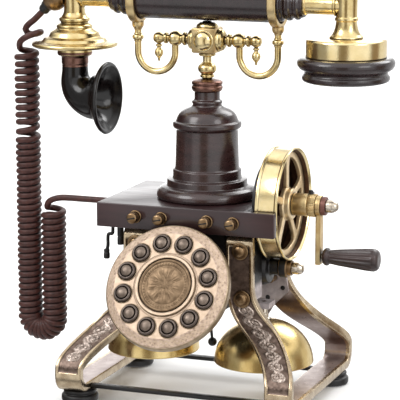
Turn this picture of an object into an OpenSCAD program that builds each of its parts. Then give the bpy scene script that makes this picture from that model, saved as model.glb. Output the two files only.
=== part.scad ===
// Desk telephone with a hand crank: a skeleton frame of two strap loops, a deck with a turned
// column, a sprung cradle, a lift-off handset, a push-key dial, a friction-driven magneto and
// two bells. Millimetres, +Z up, -Y towards the user; the origin lies on the floor under the
// column's axis.

/* [Deck] */
// Width of the deck
deck_w = 130; // [126:1:134]
// Depth of the deck
deck_d = 92; // [88:1:96]
// Thickness of the deck
deck_t = 17; // [15:0.5:19]
// Height of the deck's top above the floor
deck_top = 142; // [142:0.5:143]

/* [Side loops] */
// Width of the strap
strap_w = 19.5; // [17:0.5:20]
// Thickness of the strap
strap_t = 6; // [4:0.5:6]
// Distance of the strap's middle from the centre plane under the deck
leg_x_top = 38; // [37:0.25:38]
// Distance of the strap's middle from the centre plane at the feet
leg_x_low = 77; // [72:0.5:80]
// Distance of the strap's mid-thickness from the column's axis, front to back, under the deck
leg_y_top = 37; // [37:0.5:38]
// The same distance at the feet
leg_y_low = 69; // [66:0.5:72]

/* [Dial] */
// Radius of the dial face
dial_r = 44; // [43:0.25:44.5]
// Lean of the dial from upright, in degrees
dial_tilt = 29.5; // [28:0.5:31]
// Radius of the ring of keys
key_ring_r = 30.4; // [30:0.1:31]
// Radius of a key
key_r = 6.3; // [5.8:0.1:6.4]
// Travel of a key
key_travel = 2; // [1:0.1:2]

/* [Drive wheel] */
// Height of the crank shaft above the floor
wheel_z = 141; // [141:0.1:141.5]
// Running radius of the wheel's rim
wheel_r = 38.5; // [38:0.25:38.5]
// Running radius of the magneto roller
roller_r = 7; // [6.5:0.1:7.5]
// Throw of the crank
crank_throw = 35.5; // [30:0.5:36]

/* [Bells] */
// Radius of the left bell at its rim
bell_left_r = 33; // [30:0.5:33.5]
// Radius of the right bell at its rim
bell_right_r = 35.2; // [33:0.2:35.4]
// Distance of the left bell's axis from the centre plane
bell_left_x = 41; // [41:0.5:42]
// Distance of the right bell's axis from the centre plane
bell_right_x = 42.6; // [42.4:0.2:43]

/* [Handset] */
// Height of the handset's axis above the floor
grip_z = 279.7; // [279:0.1:281]
// Radius of the grip
grip_r = 13.4; // [13:0.1:13.4]
// Distance of the two vertical stems from the centre plane
stem_x = 100.5; // [99:0.5:102]

/* [Cord] */
// Thickness of the cord
cord_d = 4.6; // [4:0.1:5]
// Outer diameter of the curly stretch
coil_d = 18.6; // [16:0.2:18.8]

/* [Hidden] */
$fn = 64;

deck_low = deck_top - deck_t;
notch_x = 43;
notch_half = 40.5;
running_gap = 0.05;

// Side loops
strap_mid_top = deck_low - strap_t / 2;
foot_h = 9.5;
strap_mid_low = foot_h + strap_t / 2;
foot_r = 13;
foot_y = 52.2;
bar_ys = [-foot_y, 43.4];
bend_r_top = 5;
bend_r_low = 9;
curve_x_top = 92;
curve_x_low = 26;
curve_y_top = 68;
curve_y_low = 25;

// Case, blocks and ringer
case_x = 26;
case_y = leg_y_top - strap_t / 2;
case_wall = 2.5;
base_z = 70;
block_x = 46;
block_y = 15;
block_low = 77;
rear_block_low = 90;
gusset_t = 2.5;
bell_bar_t = 4;
bell_bar_low = base_z - bell_bar_t;
bell_left_rim = 28.5;
bell_right_rim = 26.7;
bell_crown = 57.2;
bell_wall = 2;
bell_xs = [-bell_left_x, bell_right_x];
post_r = 2;
clapper_z = 76;
clapper_ball = [4, 0, 37];
pivot_r = 1.5;
screw_places = [[leg_x_top + 2, 80], [leg_x_top + 0.5, 113.5]];

// Dial
dial_c = [0, -80.6, 95.3];
dial_back = 14;
face_t = 2.2;
key_step = 30;
key_first = 105;
key_flange_r = key_r + 1;

// Drive
shaft_r = 4;
wheel_x0 = 48.5;
wheel_x1 = 64.8;
web_x0 = 49;
web_x1 = 50.5;
spoke_x0 = 57;
spoke_x1 = 60;
rim_t = 1.4;
border_h = 0.9;
border_w = 2;
spokes = 5;
hub_x1 = 64;
arm_x0 = 81;
arm_x1 = 84.6;
handle_x0 = 86.3;
handle_x1 = 126.2;
arm_end = crank_throw + 5.8;
pin_r = 2;
magneto_z = wheel_z - wheel_r - roller_r - 0.1;
rotor_r = 3;

// Cradle and handset
rod_r = 3.5;
rod_low = 186;
spring_low = 172;
flange_z = 210.5;
flange_top = 212.9;
collar_z = 217;
arm_z = 252.9;
block_w = 17.6;
oval_x = 23.5;
hook_r = 14;
hook_tube_r = 2.35;
hook_z = 243;
hook_x = oval_x + 0.3 + hook_r;
fork_x = hook_x + hook_r;
fork_r = grip_r + 0.3;
fork_t = 3;
fork_w = 6;
fork_top = 292;
grip_x = 54;
collar_x = 71;
tube_x = 94;
tube_r = 6.5;
stem_r = 7.5;
disc_z = 246;
horn_bend = 15;
horn_axis_z = 208.3;
mouth_x = -74.2;
mouth_r = 25.7;

// One turned arm of the cradle from its block outwards, and the drop that hangs from it
arm_outline = [
    [0, 8], [8, 8], [8, 10], [7.3, 10.4], [7, 12], [5, 13.4], [2.9, 14], [2.9, 15], [4.6, 16],
    [4.8, 17], [3, 18.2], [3, 19], [4.4, 20.4], [5.2, 22.6], [5.2, 24.4], [4.4, 26.6],
    [2.6, 28], [2.6, 29], [4, 30], [4, 31], [2.4, 32], [3.2, 33], [4, 35], [4, 37], [2.8, 39.2],
    [0, 40]
];
drop_outline = [
    [0, -16.6], [0.9, -16], [1.1, -14], [2.9, -11.6], [3, -9.4], [1.4, -7], [1.4, -6.2],
    [2.2, -5.6], [2.2, -4.8], [1.2, -4], [1.2, 0], [0, 0]
];
// The stem's top and its joint to the tube, the same on both ends
stem_top = [
    [stem_r, grip_z + 8], [stem_r + 0.8, grip_z + 8.6], [stem_r + 0.8, grip_z + 10.2],
    [5.5, grip_z + 11.6], [2, grip_z + 12.6], [0, grip_z + 12.8]
];

// Cord: two thin stretches by their routes, and the curly stretch as one fat tube between them
gland_x = -deck_w / 2;
gland_z = 134;
cord_start_x = gland_x - 8;
lower_route = [
    [cord_start_x, 0, 134], [-84, 0, 134], [-96, 0, 134], [-108, 0, 134], [-114.5, 0, 133.5],
    [-119.6, 0, 132], [-122.6, 0, 130], [-123.8, 0, 128], [-124, 0, 126.4]
];
limb_left = -138.3;
limb_right = -119;
bend_x = (limb_left + limb_right) / 2;
bend_r = (limb_right - limb_left) / 2;
bend_z = 45;
coil_top = 238;
coil_end = 127;
coil_route = concat(
    [for (z = [coil_top, 200, 160, 120, 80]) [limb_left, 0, z]],
    [for (a = [180:30:360]) [bend_x + bend_r * cos(a), 0, bend_z + bend_r * sin(a)]],
    [[limb_right, 0, 85], [limb_right, 0, coil_end]]
);
knob_c = [-115.5, 0, grip_z];
knob_exit = [-0.65, 0, -0.76];
knob_reach = 15;
upper_route = [
    knob_c + (knob_reach - 0.5) * knob_exit, knob_c + (knob_reach + 4) * knob_exit,
    [-132, 0, 262], [-136.6, 0.5, 258.6], [-140, 2, 254.8],
    [-138.6, 5, 251.4], [-134.5, 6.5, 251], [-129.5, 4.5, 252.6], [-127.5, 0, 253.4],
    [-130, -4.5, 252.4], [-135, -6.5, 250.4], [-140.5, -5, 247], [-143.5, -1, 243],
    [-143.8, 2, 240.2]
];

// ---- shared shapes and functions ----

function clamp01(t) = min(1, max(0, t));
function smooth(t) = t * t * (3 - 2 * t);
function ease(z, top, low, warp) = smooth(pow(clamp01((top - z) / (top - low)), warp));
function unit(v) = v / norm(v);

// Middle of the strap across (x) and from front to back (y) at a height
function leg_x(z) = leg_x_top + (leg_x_low - leg_x_top) * ease(z, curve_x_top, curve_x_low, 1.3);
function leg_y(z) = leg_y_top + (leg_y_low - leg_y_top) * ease(z, curve_y_top, curve_y_low, 1.35);
function leg_slope(z) = (leg_x(z - 1) - leg_x(z + 1)) / norm([leg_y(z - 1) - leg_y(z + 1), 2]);

// The front half of the loop from the deck down to the floor, as [y, z]
function loop_front() = concat(
    [[0, strap_mid_top]],
    [for (a = [90:22.5:180]) [-leg_y_top + bend_r_top + bend_r_top * cos(a),
        strap_mid_top - bend_r_top + bend_r_top * sin(a)]],
    [for (z = [104, 92, 86, 80, 74, 68, 63, 58, 54, 50, 46, 42, 38, 34, 30, 26]) [-leg_y(z), z]],
    [for (a = [180:15:270]) [-leg_y_low + bend_r_low + bend_r_low * cos(a),
        strap_mid_low + bend_r_low + bend_r_low * sin(a)]],
    [[-30, strap_mid_low]]
);
function loop_path() = let (f = loop_front(), n = len(f)) concat(
    f, [[0, strap_mid_low]], [for (i = [n - 1:-1:1]) [-f[i].x, f[i].y]]
);

module turned(points) {
    rotate_extrude() polygon(points);
}

// A turned piece along X, its outline as [radius, x]
module turned_x(points) {
    rotate([0, 90, 0]) rotate_extrude() polygon(points);
}

module rod_x(r, x0, x1) {
    translate([x0, 0, 0]) rotate([0, 90, 0]) cylinder(r = r, h = x1 - x0);
}

module both_sides() {
    children();
    mirror([1, 0, 0]) children();
}

module front_and_back() {
    children();
    mirror([0, 1, 0]) children();
}

// The sideways directions along a route, each carried over from the one before it
function carried(tangents, i = 0, side = [0, 1, 0]) = i == len(tangents) ? [] :
    let (t = tangents[i], next = unit(side - (side * t) * t))
    concat([next], carried(tangents, i + 1, next));

// A closed tube along a route, with one radius for each of its points
module swept(route, radii, sides) {
    n = len(route);
    tangents = [for (i = [0:n - 1]) unit(route[min(i + 1, n - 1)] - route[max(i - 1, 0)])];
    ways = carried(tangents);
    points = [for (i = [0:n - 1], j = [0:sides - 1])
        let (a = 360 * j / sides)
        route[i] + radii[i] * (sin(a) * ways[i] + cos(a) * cross(tangents[i], ways[i]))];
    walls = [for (i = [0:n - 2], j = [0:sides - 1])
        let (k = (j + 1) % sides)
        [i * sides + j, i * sides + k, (i + 1) * sides + k, (i + 1) * sides + j]];
    first_end = [for (j = [sides - 1:-1:0]) j];
    last_end = [for (j = [0:sides - 1]) (n - 1) * sides + j];
    polyhedron(points, concat([first_end], walls, [last_end]), convexity = 6);
}

// ---- deck, column and cradle spring ----

module deck() {
    color([0.13, 0.08, 0.08])
    difference() {
        translate([-deck_w / 2, -deck_d / 2, deck_low]) cube([deck_w, deck_d, deck_t]);
        translate([notch_x, -notch_half, deck_low - 1]) cube([deck_w, 2 * notch_half, deck_t + 2]);
        terminal_places() translate([0, 0, -9]) cylinder(r = post_r, h = 10);
        translate([0, 0, gland_z]) rod_x(3, gland_x - 1, gland_x + 8);
    }
}

module column() {
    color([0.12, 0.07, 0.07])
    difference() {
        translate([0, 0, deck_top])
        turned([
            [0, 0], [34.5, 0], [35.6, 1.5], [35.4, 4], [34, 6.6], [31.5, 8.2], [28.3, 8.9],
            [28.3, 13.2], [27.9, 13.6], [24.1, 13.6], [24.1, 20], [22.7, 20.8], [22.3, 24],
            [22, 36], [21.7, 48.8], [24.1, 50.6], [24.1, 53.2], [21.9, 54.4], [21.1, 56.5],
            [18.1, 60.8], [12, 63.9], [10.2, 65.2], [10.2, 66.4], [10.7, 67.2], [10.3, 68.4],
            [8.9, 69.6], [8.9, collar_z - deck_top], [0, collar_z - deck_top]
        ]);
        translate([0, 0, spring_low]) cylinder(r = 6, h = 60);
        translate([0, 0, rod_low - 20]) cylinder(r = rod_r + 0.2, h = 20);
    }
}

module column_collar() {
    color([0.5, 0.27, 0.16])
    turned([
        [rod_r + running_gap, collar_z], [9.7, collar_z], [10.9, collar_z + 2.2],
        [10.8, collar_z + 6.6], [9.6, collar_z + 7.6], [5.4, collar_z + 8.6],
        [rod_r + running_gap, collar_z + 8.6]
    ]);
}

module hook_spring() {
    mean_r = 4.75;
    wire_r = 0.55;
    turns = 7;
    rings = 84;
    z0 = spring_low + wire_r + 0.05;
    z1 = flange_z - wire_r - 0.05;
    sides = 6;
    points = [for (i = [0:rings], j = [0:sides - 1])
        let (a = 360 * turns * i / rings, b = 360 * j / sides, r = mean_r + wire_r * cos(b))
        [r * cos(a), r * sin(a), z0 + (z1 - z0) * i / rings + wire_r * sin(b)]];
    walls = [for (i = [0:rings - 1], j = [0:sides - 1])
        let (k = (j + 1) % sides)
        [i * sides + j, (i + 1) * sides + j, (i + 1) * sides + k, i * sides + k]];
    color("silver")
    polyhedron(points, concat([[for (j = [0:sides - 1]) j]], walls,
        [[for (j = [sides - 1:-1:0]) rings * sides + j]]), convexity = 10);
}

// ---- frame ----

module side_loop() {
    path = loop_path();
    n = len(path);
    points = [for (i = [0:n - 1])
        let (p = path[i], t = unit(path[(i + 1) % n] - path[(i + n - 1) % n]),
            side = [t.y, -t.x] * strap_t / 2, x = leg_x(p.y),
            half = strap_w / 2 * sqrt(1 + pow(leg_slope(p.y), 2)))
        each [
            [x - half, p.x + side.x, p.y + side.y], [x + half, p.x + side.x, p.y + side.y],
            [x + half, p.x - side.x, p.y - side.y], [x - half, p.x - side.x, p.y - side.y]
        ]];
    walls = [for (i = [0:n - 1], j = [0:3])
        let (k = (j + 1) % 4, m = (i + 1) % n)
        [4 * i + j, 4 * i + k, 4 * m + k, 4 * m + j]];
    polyhedron(points, walls, convexity = 8);
}

module side_loop_left() {
    color([0.55, 0.47, 0.33]) mirror([1, 0, 0]) side_loop();
}

module side_loop_right() {
    color([0.55, 0.47, 0.33]) side_loop();
}

module corner_blocks() {
    color([0.1, 0.1, 0.11])
    both_sides() {
        mirror([0, 1, 0]) block_drilled() corner_block(block_low);
        block_drilled() {
            corner_block(rear_block_low);
            gusset();
        }
    }
}

module corner_block(low) {
    translate([case_x, block_y, low])
        cube([block_x - case_x, case_y - block_y, deck_low - strap_t - low]);
}

// The plate that hangs from a rear block against the inner face of the strap
module gusset() {
    translate([0, case_y, 0]) rotate([90, 0, 0]) linear_extrude(gusset_t)
        polygon([[26.5, 91], [26.5, 62], [29.5, 59], [34, 50.5], [39.4, 59.8], [50.4, 70.4], [48.8, 80],
            [46, 91]]);
}

module block_drilled() {
    difference() {
        union() children();
        for (p = screw_places) translate([p.x, case_y + 1, p.y]) rotate([90, 0, 0])
            cylinder(r = post_r, h = 13);
    }
}

module leg_screws() {
    face = leg_y_top + strap_t / 2;
    color([0.62, 0.48, 0.28])
    both_sides() front_and_back() for (p = screw_places)
        translate([p.x, face, p.y]) rotate([-90, 0, 0]) {
            turned([[0, 0], [6.1, 0], [6.1, 1], [5, 1.4], [4.3, 1.4], [3.9, 2.8], [1.8, 3.5],
                [0, 3.7]]);
            translate([0, 0, -strap_t - 11]) cylinder(r = post_r, h = strap_t + 11);
        }
}

module cross_bars() {
    half = leg_x_low - strap_w / 2;
    color([0.06, 0.06, 0.06])
    for (y = bar_ys) translate([-half, y - 3, foot_h + 0.8]) cube([2 * half, 6, 3]);
}

module feet() {
    color([0.05, 0.05, 0.05])
    both_sides() front_and_back() translate([leg_x_low - 0.7, foot_y, 0])
        turned([[0, 0], [12, 0], [foot_r, 1.2], [foot_r, 5.5], [12, 8.2], [10.5, foot_h],
            [0, foot_h]]);
}

// ---- case, ringer and bells ----

module case_shell() {
    h = deck_low - base_z - case_wall;
    color([0.07, 0.07, 0.08])
    difference() {
        translate([-case_x, -case_y, base_z + case_wall]) cube([2 * case_x, 2 * case_y, h]);
        translate([-case_x + case_wall, -case_y + case_wall, base_z])
            cube([2 * (case_x - case_wall), 2 * (case_y - case_wall), deck_low]);
        translate([-8, case_y - 5, 84]) cube([16, 10, 13]);
    }
}

module case_base() {
    color([0.09, 0.09, 0.1])
    difference() {
        union() {
            translate([-case_x, -case_y, base_z]) cube([2 * case_x, 2 * case_y, case_wall]);
            front_and_back() translate([-4, 5, base_z + 1]) cube([8, 2.5, 10]);
        }
        translate([-12, -3.5, base_z - 1]) cube([24, 7, case_wall + 2]);
        translate([0, 10, clapper_z]) rotate([90, 0, 0])
            cylinder(r = pivot_r + running_gap, h = 20);
    }
}

module line_jack() {
    color([0.08, 0.08, 0.08])
    difference() {
        translate([-8, case_y - 14, 84]) cube([16, 16, 13]);
        translate([-5.5, case_y - 11, 87]) cube([11, 20, 7]);
    }
}

module bell_bar() {
    color([0.08, 0.08, 0.08])
    difference() {
        translate([-bell_left_x - 6, -7, bell_bar_low])
            cube([bell_left_x + bell_right_x + 12, 14, bell_bar_t]);
        translate([-12, -3.5, bell_bar_low - 1]) cube([24, 7, bell_bar_t + 2]);
        for (x = bell_xs) translate([x, 0, bell_bar_low - 1]) cylinder(r = post_r, h = 6);
    }
}

module bell_posts() {
    color([0.6, 0.6, 0.58])
    for (x = bell_xs) translate([x, 0, 0]) {
        translate([0, 0, 48]) cylinder(r = post_r, h = base_z - 48);
        translate([0, 0, bell_crown]) cylinder(r = 4.4, h = 2);
        translate([0, 0, bell_crown]) cylinder(r = 2.7, h = bell_bar_low - bell_crown);
        translate([0, 0, bell_crown - bell_wall - 3.4]) cylinder(r = 4, h = 3.2, $fn = 6);
    }
}

module bell(x, r, rim_z) {
    h = bell_crown - rim_z;
    color([0.72, 0.55, 0.26])
    translate([x, 0, rim_z])
    turned(concat(
        [for (a = [0:6:84]) [r * cos(a), h * sin(a)]],
        [[post_r + 0.1, h], [post_r + 0.1, h - bell_wall]],
        [for (a = [84:-6:0]) [(r - bell_wall) * cos(a), (h - bell_wall) * sin(a)]]
    ));
}

module bell_left() {
    bell(bell_xs[0], bell_left_r, bell_left_rim);
}

module bell_right() {
    bell(bell_xs[1], bell_right_r, bell_right_rim);
}

module ringer_coils() {
    color([0.45, 0.22, 0.1])
    union() {
        translate([-20, -6, 104]) cube([40, 12, 4]);
        both_sides() translate([11, 0, 85]) {
            cylinder(r = 3, h = 20);
            cylinder(r = 7.5, h = 1.5);
            translate([0, 0, 1.5]) cylinder(r = 6.5, h = 16);
            translate([0, 0, 17.5]) cylinder(r = 7.5, h = 1.5);
        }
    }
}

module clapper() {
    reach = clapper_ball - [0, 0, clapper_z];
    lean = atan2(reach.x, -reach.z);
    color([0.12, 0.11, 0.1])
    translate([0, 0, clapper_z]) {
        translate([0, 7, 0]) rotate([90, 0, 0]) cylinder(r = pivot_r, h = 14);
        rotate([0, -lean, 0]) {
            translate([0, 0, -norm(reach)]) cylinder(r = 1, h = norm(reach) + 4);
            translate([0, 0, -norm(reach)]) sphere(r = 3.2);
            translate([-14, -4, 3]) cube([28, 8, 1.6]);
        }
    }
}

// ---- dial ----

module at_dial() {
    translate(dial_c) rotate([90 - dial_tilt, 0, 0]) children();
}

module at_key(n) {
    a = key_first - key_step * (n - 1);
    at_dial() translate([key_ring_r * cos(a), key_ring_r * sin(a), 0]) children();
}

module dial_bracket() {
    up = [sin(dial_tilt), cos(dial_tilt)];
    back = [dial_c.y + dial_back * cos(dial_tilt), dial_c.z - dial_back * sin(dial_tilt)];
    top = back + 20 * up;
    low = back - 16 * up;
    color([0.07, 0.07, 0.08])
    translate([-16, 0, 0]) rotate([90, 0, 90]) linear_extrude(32)
        polygon([top, [-case_y, 112], [-case_y, 76], low]);
}

module dial_housing() {
    color([0.12, 0.09, 0.08])
    at_dial() turned([
        [0, -dial_back], [36, -dial_back], [40, -12.6], [42.2, -10.4], [dial_r - 0.8, -8],
        [39.5, -8], [39.5, 2.5 - dial_back], [0, 2.5 - dial_back]
    ]);
}

module dial_face() {
    color([0.83, 0.72, 0.6])
    difference() {
        at_dial() turned([
            [0, -face_t], [39.5, -face_t], [39.5, -8], [dial_r - 0.8, -8], [dial_r, -7.4],
            [dial_r, -4.5], [dial_r - 0.4, -3.3], [dial_r - 1.2, -2.6], [37.2, 0],
            [21.6, 0], [21.2, 1.6], [19.4, 1.6], [19, 0], [0, 0]
        ]);
        for (n = [1:12]) at_key(n) translate([0, 0, -face_t - 1])
            cylinder(r = key_r + 0.3, h = face_t + 2);
    }
}

module dial_medallion() {
    color([0.5, 0.36, 0.2])
    at_dial() turned([[0, 0], [18.6, 0], [18.6, 1.1], [17.6, 1.6], [16.6, 1.2], [0, 1.4]]);
}

module key_board() {
    color([0.1, 0.3, 0.16])
    at_dial() translate([0, 0, -9.7]) cylinder(r = 39.5, h = 1.6);
}

module key(n) {
    color([0.2, 0.19, 0.19])
    at_key(n) turned([
        [0, -5.8], [2.2, -5.8], [2.2, -4.2], [key_flange_r, -4.2], [key_flange_r, -2.5],
        [key_r, -2.5], [key_r, 1.4], [key_r - 0.7, 2.2], [key_r - 2, 2.2], [key_r - 2.2, 1.7],
        [key_r - 2.7, 2.6], [2.4, 3.5], [0, 3.9]
    ]);
}

// ---- terminals ----

module terminal_places() {
    for (x = [-35.7, -16.7, 16.7, 35.7]) translate([x, -deck_d / 2, deck_top - 8.2])
        rotate([90, 0, 0]) children();
}

module front_terminal() {
    color([0.45, 0.36, 0.25]) {
        translate([0, 0, -8]) cylinder(r = post_r, h = 9);
        cylinder(r = 4.4, h = 1.2);
        turned([[0, 1], [3.2, 1], [3.7, 1.8], [3.7, 7.6], [3, 8.4], [0, 8.6]]);
    }
}

module binding_posts() {
    color([0.09, 0.09, 0.09]) translate([0, -36, 0]) {
        translate([-57, 0, 116.6]) cylinder(r = 1.4, h = deck_low - 116.6);
        translate([0, 0, 118]) rod_x(1.4, -61.6, -57);
        translate([-60.6, 0, 106]) cylinder(r = 1, h = 12);
        translate([-61.8, 0, 100.2]) cylinder(r = 2.1, h = 7);
        translate([-51.2, 0, 110.9]) cylinder(r = 2.3, h = deck_low - 110.9);
    }
}

module terminals() {
    terminal_places() front_terminal();
    binding_posts();
}

// ---- crank, wheel and magneto ----

module wheel_bracket() {
    color([0.08, 0.07, 0.07])
    difference() {
        union() {
            translate([notch_x, -notch_half, deck_low]) cube([4.5, 2 * notch_half, deck_t]);
            intersection() {
                translate([0, 0, wheel_z]) rod_x(28, notch_x, notch_x + 4.5);
                translate([0, -40, deck_top - 2]) cube([60, 80, 60]);
            }
            translate([0, 0, wheel_z]) rod_x(8, notch_x + 1, wheel_x0);
        }
        translate([0, 0, wheel_z]) rod_x(shaft_r + running_gap, notch_x - 1, web_x0);
    }
}

module wheel_windows() {
    rotate([0, 90, 0]) linear_extrude(6) difference() {
        circle(r = 32.5);
        circle(r = 11.6);
        for (k = [0:spokes - 1]) rotate(180 + 360 * k / spokes)
            polygon([[8, -2.3], [26, -2.4], [30, -3.3], [34, -6.5], [34, 6.5], [30, 3.3],
                [26, 2.4], [8, 2.3]]);
    }
}

module drive_wheel() {
    outer = wheel_r + border_h;
    color([0.72, 0.56, 0.3])
    translate([0, 0, wheel_z]) difference() {
        turned_x([
            [shaft_r, web_x0], [wheel_r - rim_t, web_x0], [wheel_r - rim_t, wheel_x0],
            [outer, wheel_x0], [outer, wheel_x0 + border_w], [wheel_r, wheel_x0 + border_w],
            [wheel_r, wheel_x1 - border_w], [outer, wheel_x1 - border_w], [outer, wheel_x1],
            [outer - 1.1, wheel_x1], [wheel_r - rim_t, wheel_x1 - 1.2],
            [wheel_r - rim_t, spoke_x1], [10.9, spoke_x1], [10.9, hub_x1 - 0.8],
            [10.2, hub_x1], [shaft_r, hub_x1]
        ]);
        turned_x([[9, web_x1], [wheel_r - rim_t, web_x1], [wheel_r - rim_t, spoke_x0],
            [9, spoke_x0]]);
        translate([spoke_x0 - 1.5, 0, 0]) wheel_windows();
    }
}

module crank_shaft() {
    color([0.7, 0.68, 0.62])
    translate([0, 0, wheel_z]) turned_x([
        [0, notch_x + 0.3], [shaft_r, notch_x + 0.3], [shaft_r, arm_x1], [6.4, arm_x1],
        [6.4, arm_x1 + 3.4], [4.4, arm_x1 + 3.6], [4.4, arm_x1 + 8], [3.4, arm_x1 + 10.6],
        [1.8, arm_x1 + 11.8], [0, arm_x1 + 12]
    ]);
}

module crank_arm() {
    color([0.7, 0.55, 0.32])
    translate([0, 0, wheel_z]) difference() {
        union() {
            turned_x([[0, hub_x1], [7.7, hub_x1], [7.7, arm_x0 - 6], [8, arm_x0 - 5.5],
                [8, arm_x0], [7, arm_x1], [0, arm_x1]]);
            translate([arm_x0, 0, 0]) rotate([90, 0, 90]) linear_extrude(arm_x1 - arm_x0)
                polygon([[-4, 0], [-4, 1 - arm_end], [-3, -arm_end], [3, -arm_end],
                    [4, 1 - arm_end], [4, 0]]);
            translate([0, 0, -crank_throw]) rod_x(pin_r, arm_x1 - 1, handle_x1 - 4);
            translate([arm_x0 - 4.5, 0, 6]) cylinder(r = 1.6, h = 4.6);
        }
        rod_x(shaft_r, hub_x1 - 1, arm_x1 + 1);
    }
}

module crank_handle() {
    color([0.11, 0.08, 0.08])
    translate([0, 0, wheel_z - crank_throw]) turned_x([
        [pin_r + running_gap, handle_x0], [5.2, handle_x0], [6.2, handle_x0 + 1.4],
        [6.2, handle_x0 + 3], [4.9, handle_x0 + 4.4], [5.2, handle_x0 + 8],
        [7.7, handle_x1 - 8], [8, handle_x1 - 3.5], [6.8, handle_x1 - 0.8],
        [5, handle_x1], [0, handle_x1], [0, handle_x1 - 3.6],
        [pin_r + running_gap, handle_x1 - 3.6]
    ]);
}

module magneto_case() {
    color([0.07, 0.07, 0.08])
    translate([0, 0, magneto_z]) difference() {
        turned_x([[0, case_x], [13, case_x], [13, 45], [11.5, 47.5], [5.6, 47.5], [5.6, 54],
            [0, 54]]);
        rod_x(rotor_r + running_gap, 38, 60);
    }
}

module magneto_rotor() {
    color([0.3, 0.26, 0.2])
    translate([0, 0, magneto_z]) turned_x([
        [0, 38.2], [rotor_r, 38.2], [rotor_r, 54.6], [roller_r, 54.6], [roller_r, 60.7],
        [5.4, 60.7], [5.4, 63.4], [4.2, 63.6], [4.2, 68.6], [3, 71], [1.4, 72], [0, 72.2]
    ]);
}

// ---- cradle ----

module cradle_stem() {
    bottom = arm_z - block_w / 2;
    color([0.6, 0.48, 0.25])
    turned(concat(
        [[0, rod_low], [rod_r, rod_low], [rod_r, flange_z], [5.6, flange_z],
            [5.6, flange_top], [rod_r, flange_top], [rod_r, 226.6], [4.9, 226.8], [4.9, 228.4]],
        [for (a = [-50:20:50]) [6.5 * cos(a), 232.8 + 5 * sin(a)]],
        [[3, 237.8], [3, bottom - 2.6], [5.4, bottom - 2.4], [6, bottom - 1.4],
            [5.4, bottom], [0, bottom]]
    ));
}

module cradle_bar() {
    color([0.68, 0.53, 0.28])
    translate([0, 0, arm_z]) union() {
        cube(block_w, center = true);
        both_sides() turned_x(arm_outline);
        both_sides() translate([36, 0, 0]) turned(drop_outline);
        front_and_back() rotate([-90, 0, 0])
            turned([[0, 8], [7.6, 8], [7.6, 9.8], [6.6, 11.2], [4.4, 12.4], [0, 13]]);
        turned([[0, 8], [6.2, 8], [6.2, 10], [5, 12], [0, 12.7]]);
    }
}

module cradle_hooks() {
    base_low = grip_z - fork_r - fork_t;
    color([0.74, 0.58, 0.32])
    both_sides() {
        translate([hook_x, 0, hook_z]) rotate([90, 0, 0]) rotate([0, 0, 180])
            rotate_extrude(angle = 180) translate([hook_r, 0]) circle(r = hook_tube_r, $fn = 24);
        translate([hook_x - hook_r, 0, hook_z]) cylinder(r = hook_tube_r, h = 5.5);
        translate([fork_x, 0, hook_z]) cylinder(r = hook_tube_r, h = base_low + 1 - hook_z);
        translate([fork_x, 0, arm_z]) turned([[0, -1.6], [3, -1.6], [3.8, -0.8], [3.8, 0.8],
            [3, 1.6], [0, 1.6]]);
        translate([fork_x, 0, base_low]) turned([[0, -4], [2.4, -4], [3.8, -2.2], [4, 0.6],
            [0, 0.6]]);
        translate([fork_x - fork_w / 2, 0, grip_z]) rotate([90, 0, 90])
            linear_extrude(fork_w) fork_outline();
    }
}

module fork_outline() {
    difference() {
        union() {
            circle(r = fork_r + fork_t);
            translate([-fork_r - fork_t, 0])
                square([2 * (fork_r + fork_t), fork_top - grip_z]);
        }
        circle(r = fork_r);
        translate([-fork_r, 0]) square([2 * fork_r, 40]);
    }
}

// ---- handset ----

module along_handset() {
    translate([0, 0, grip_z]) children();
}

module handset_grip() {
    color([0.08, 0.05, 0.06])
    along_handset() both_sides() turned_x([
        [0, 0], [grip_r, 0], [grip_r, grip_x - 1], [grip_r - 1, grip_x], [0, grip_x]
    ]);
}

module handset_collars() {
    color([0.14, 0.09, 0.1])
    along_handset() both_sides() turned_x([
        [0, grip_x], [12.6, grip_x], [12.6, 55.4], [10.6, 56.4], [10.4, 58.4], [11.4, 59.6],
        [11.4, 61.6], [10, 62.8], [9.8, 64.4], [10.8, 65.6], [10.8, 67.4], [9.4, 68.6],
        [9, collar_x], [0, collar_x]
    ]);
}

module handset_tubes() {
    color([0.72, 0.56, 0.3])
    along_handset() both_sides() turned_x([
        [0, collar_x], [tube_r + 1, collar_x], [tube_r + 1, 72.4], [tube_r, 73], [tube_r, 92],
        [tube_r + 0.8, 92.8], [tube_r + 0.8, tube_x], [0, tube_x]
    ]);
}

module receiver_stem() {
    color([0.72, 0.56, 0.3])
    union() {
        translate([stem_x, 0, 0]) turned(concat([
            [0, 257.6], [11.6, 257.6], [11.6, 258.8], [9.6, 260.8], [7.8, 264.4], [7.2, 268],
            [7.2, 269.4], [8, 270], [8, 271.6], [stem_r, 272.2]
        ], stem_top));
        along_handset() rod_x(tube_r, tube_x, stem_x);
    }
}

module receiver_cap() {
    color([0.74, 0.58, 0.3])
    translate([stem_x, 0, 0]) turned([
        [0, 245], [27.7, 245], [27.7, 256.6], [26.7, 257.6], [0, 257.6]
    ]);
}

module receiver_shell() {
    color([0.09, 0.06, 0.07])
    translate([stem_x, 0, 0]) turned([
        [24, 228], [28, 228.1], [30, 229.6], [30, 232], [28.6, 233.8], [28.8, 235],
        [32, 237.4], [33.5, 240.4], [33.4, 242.6], [31.6, 244.6], [28, 245], [0, 245],
        [0, 233], [22, 233], [24, 231]
    ]);
}

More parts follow.
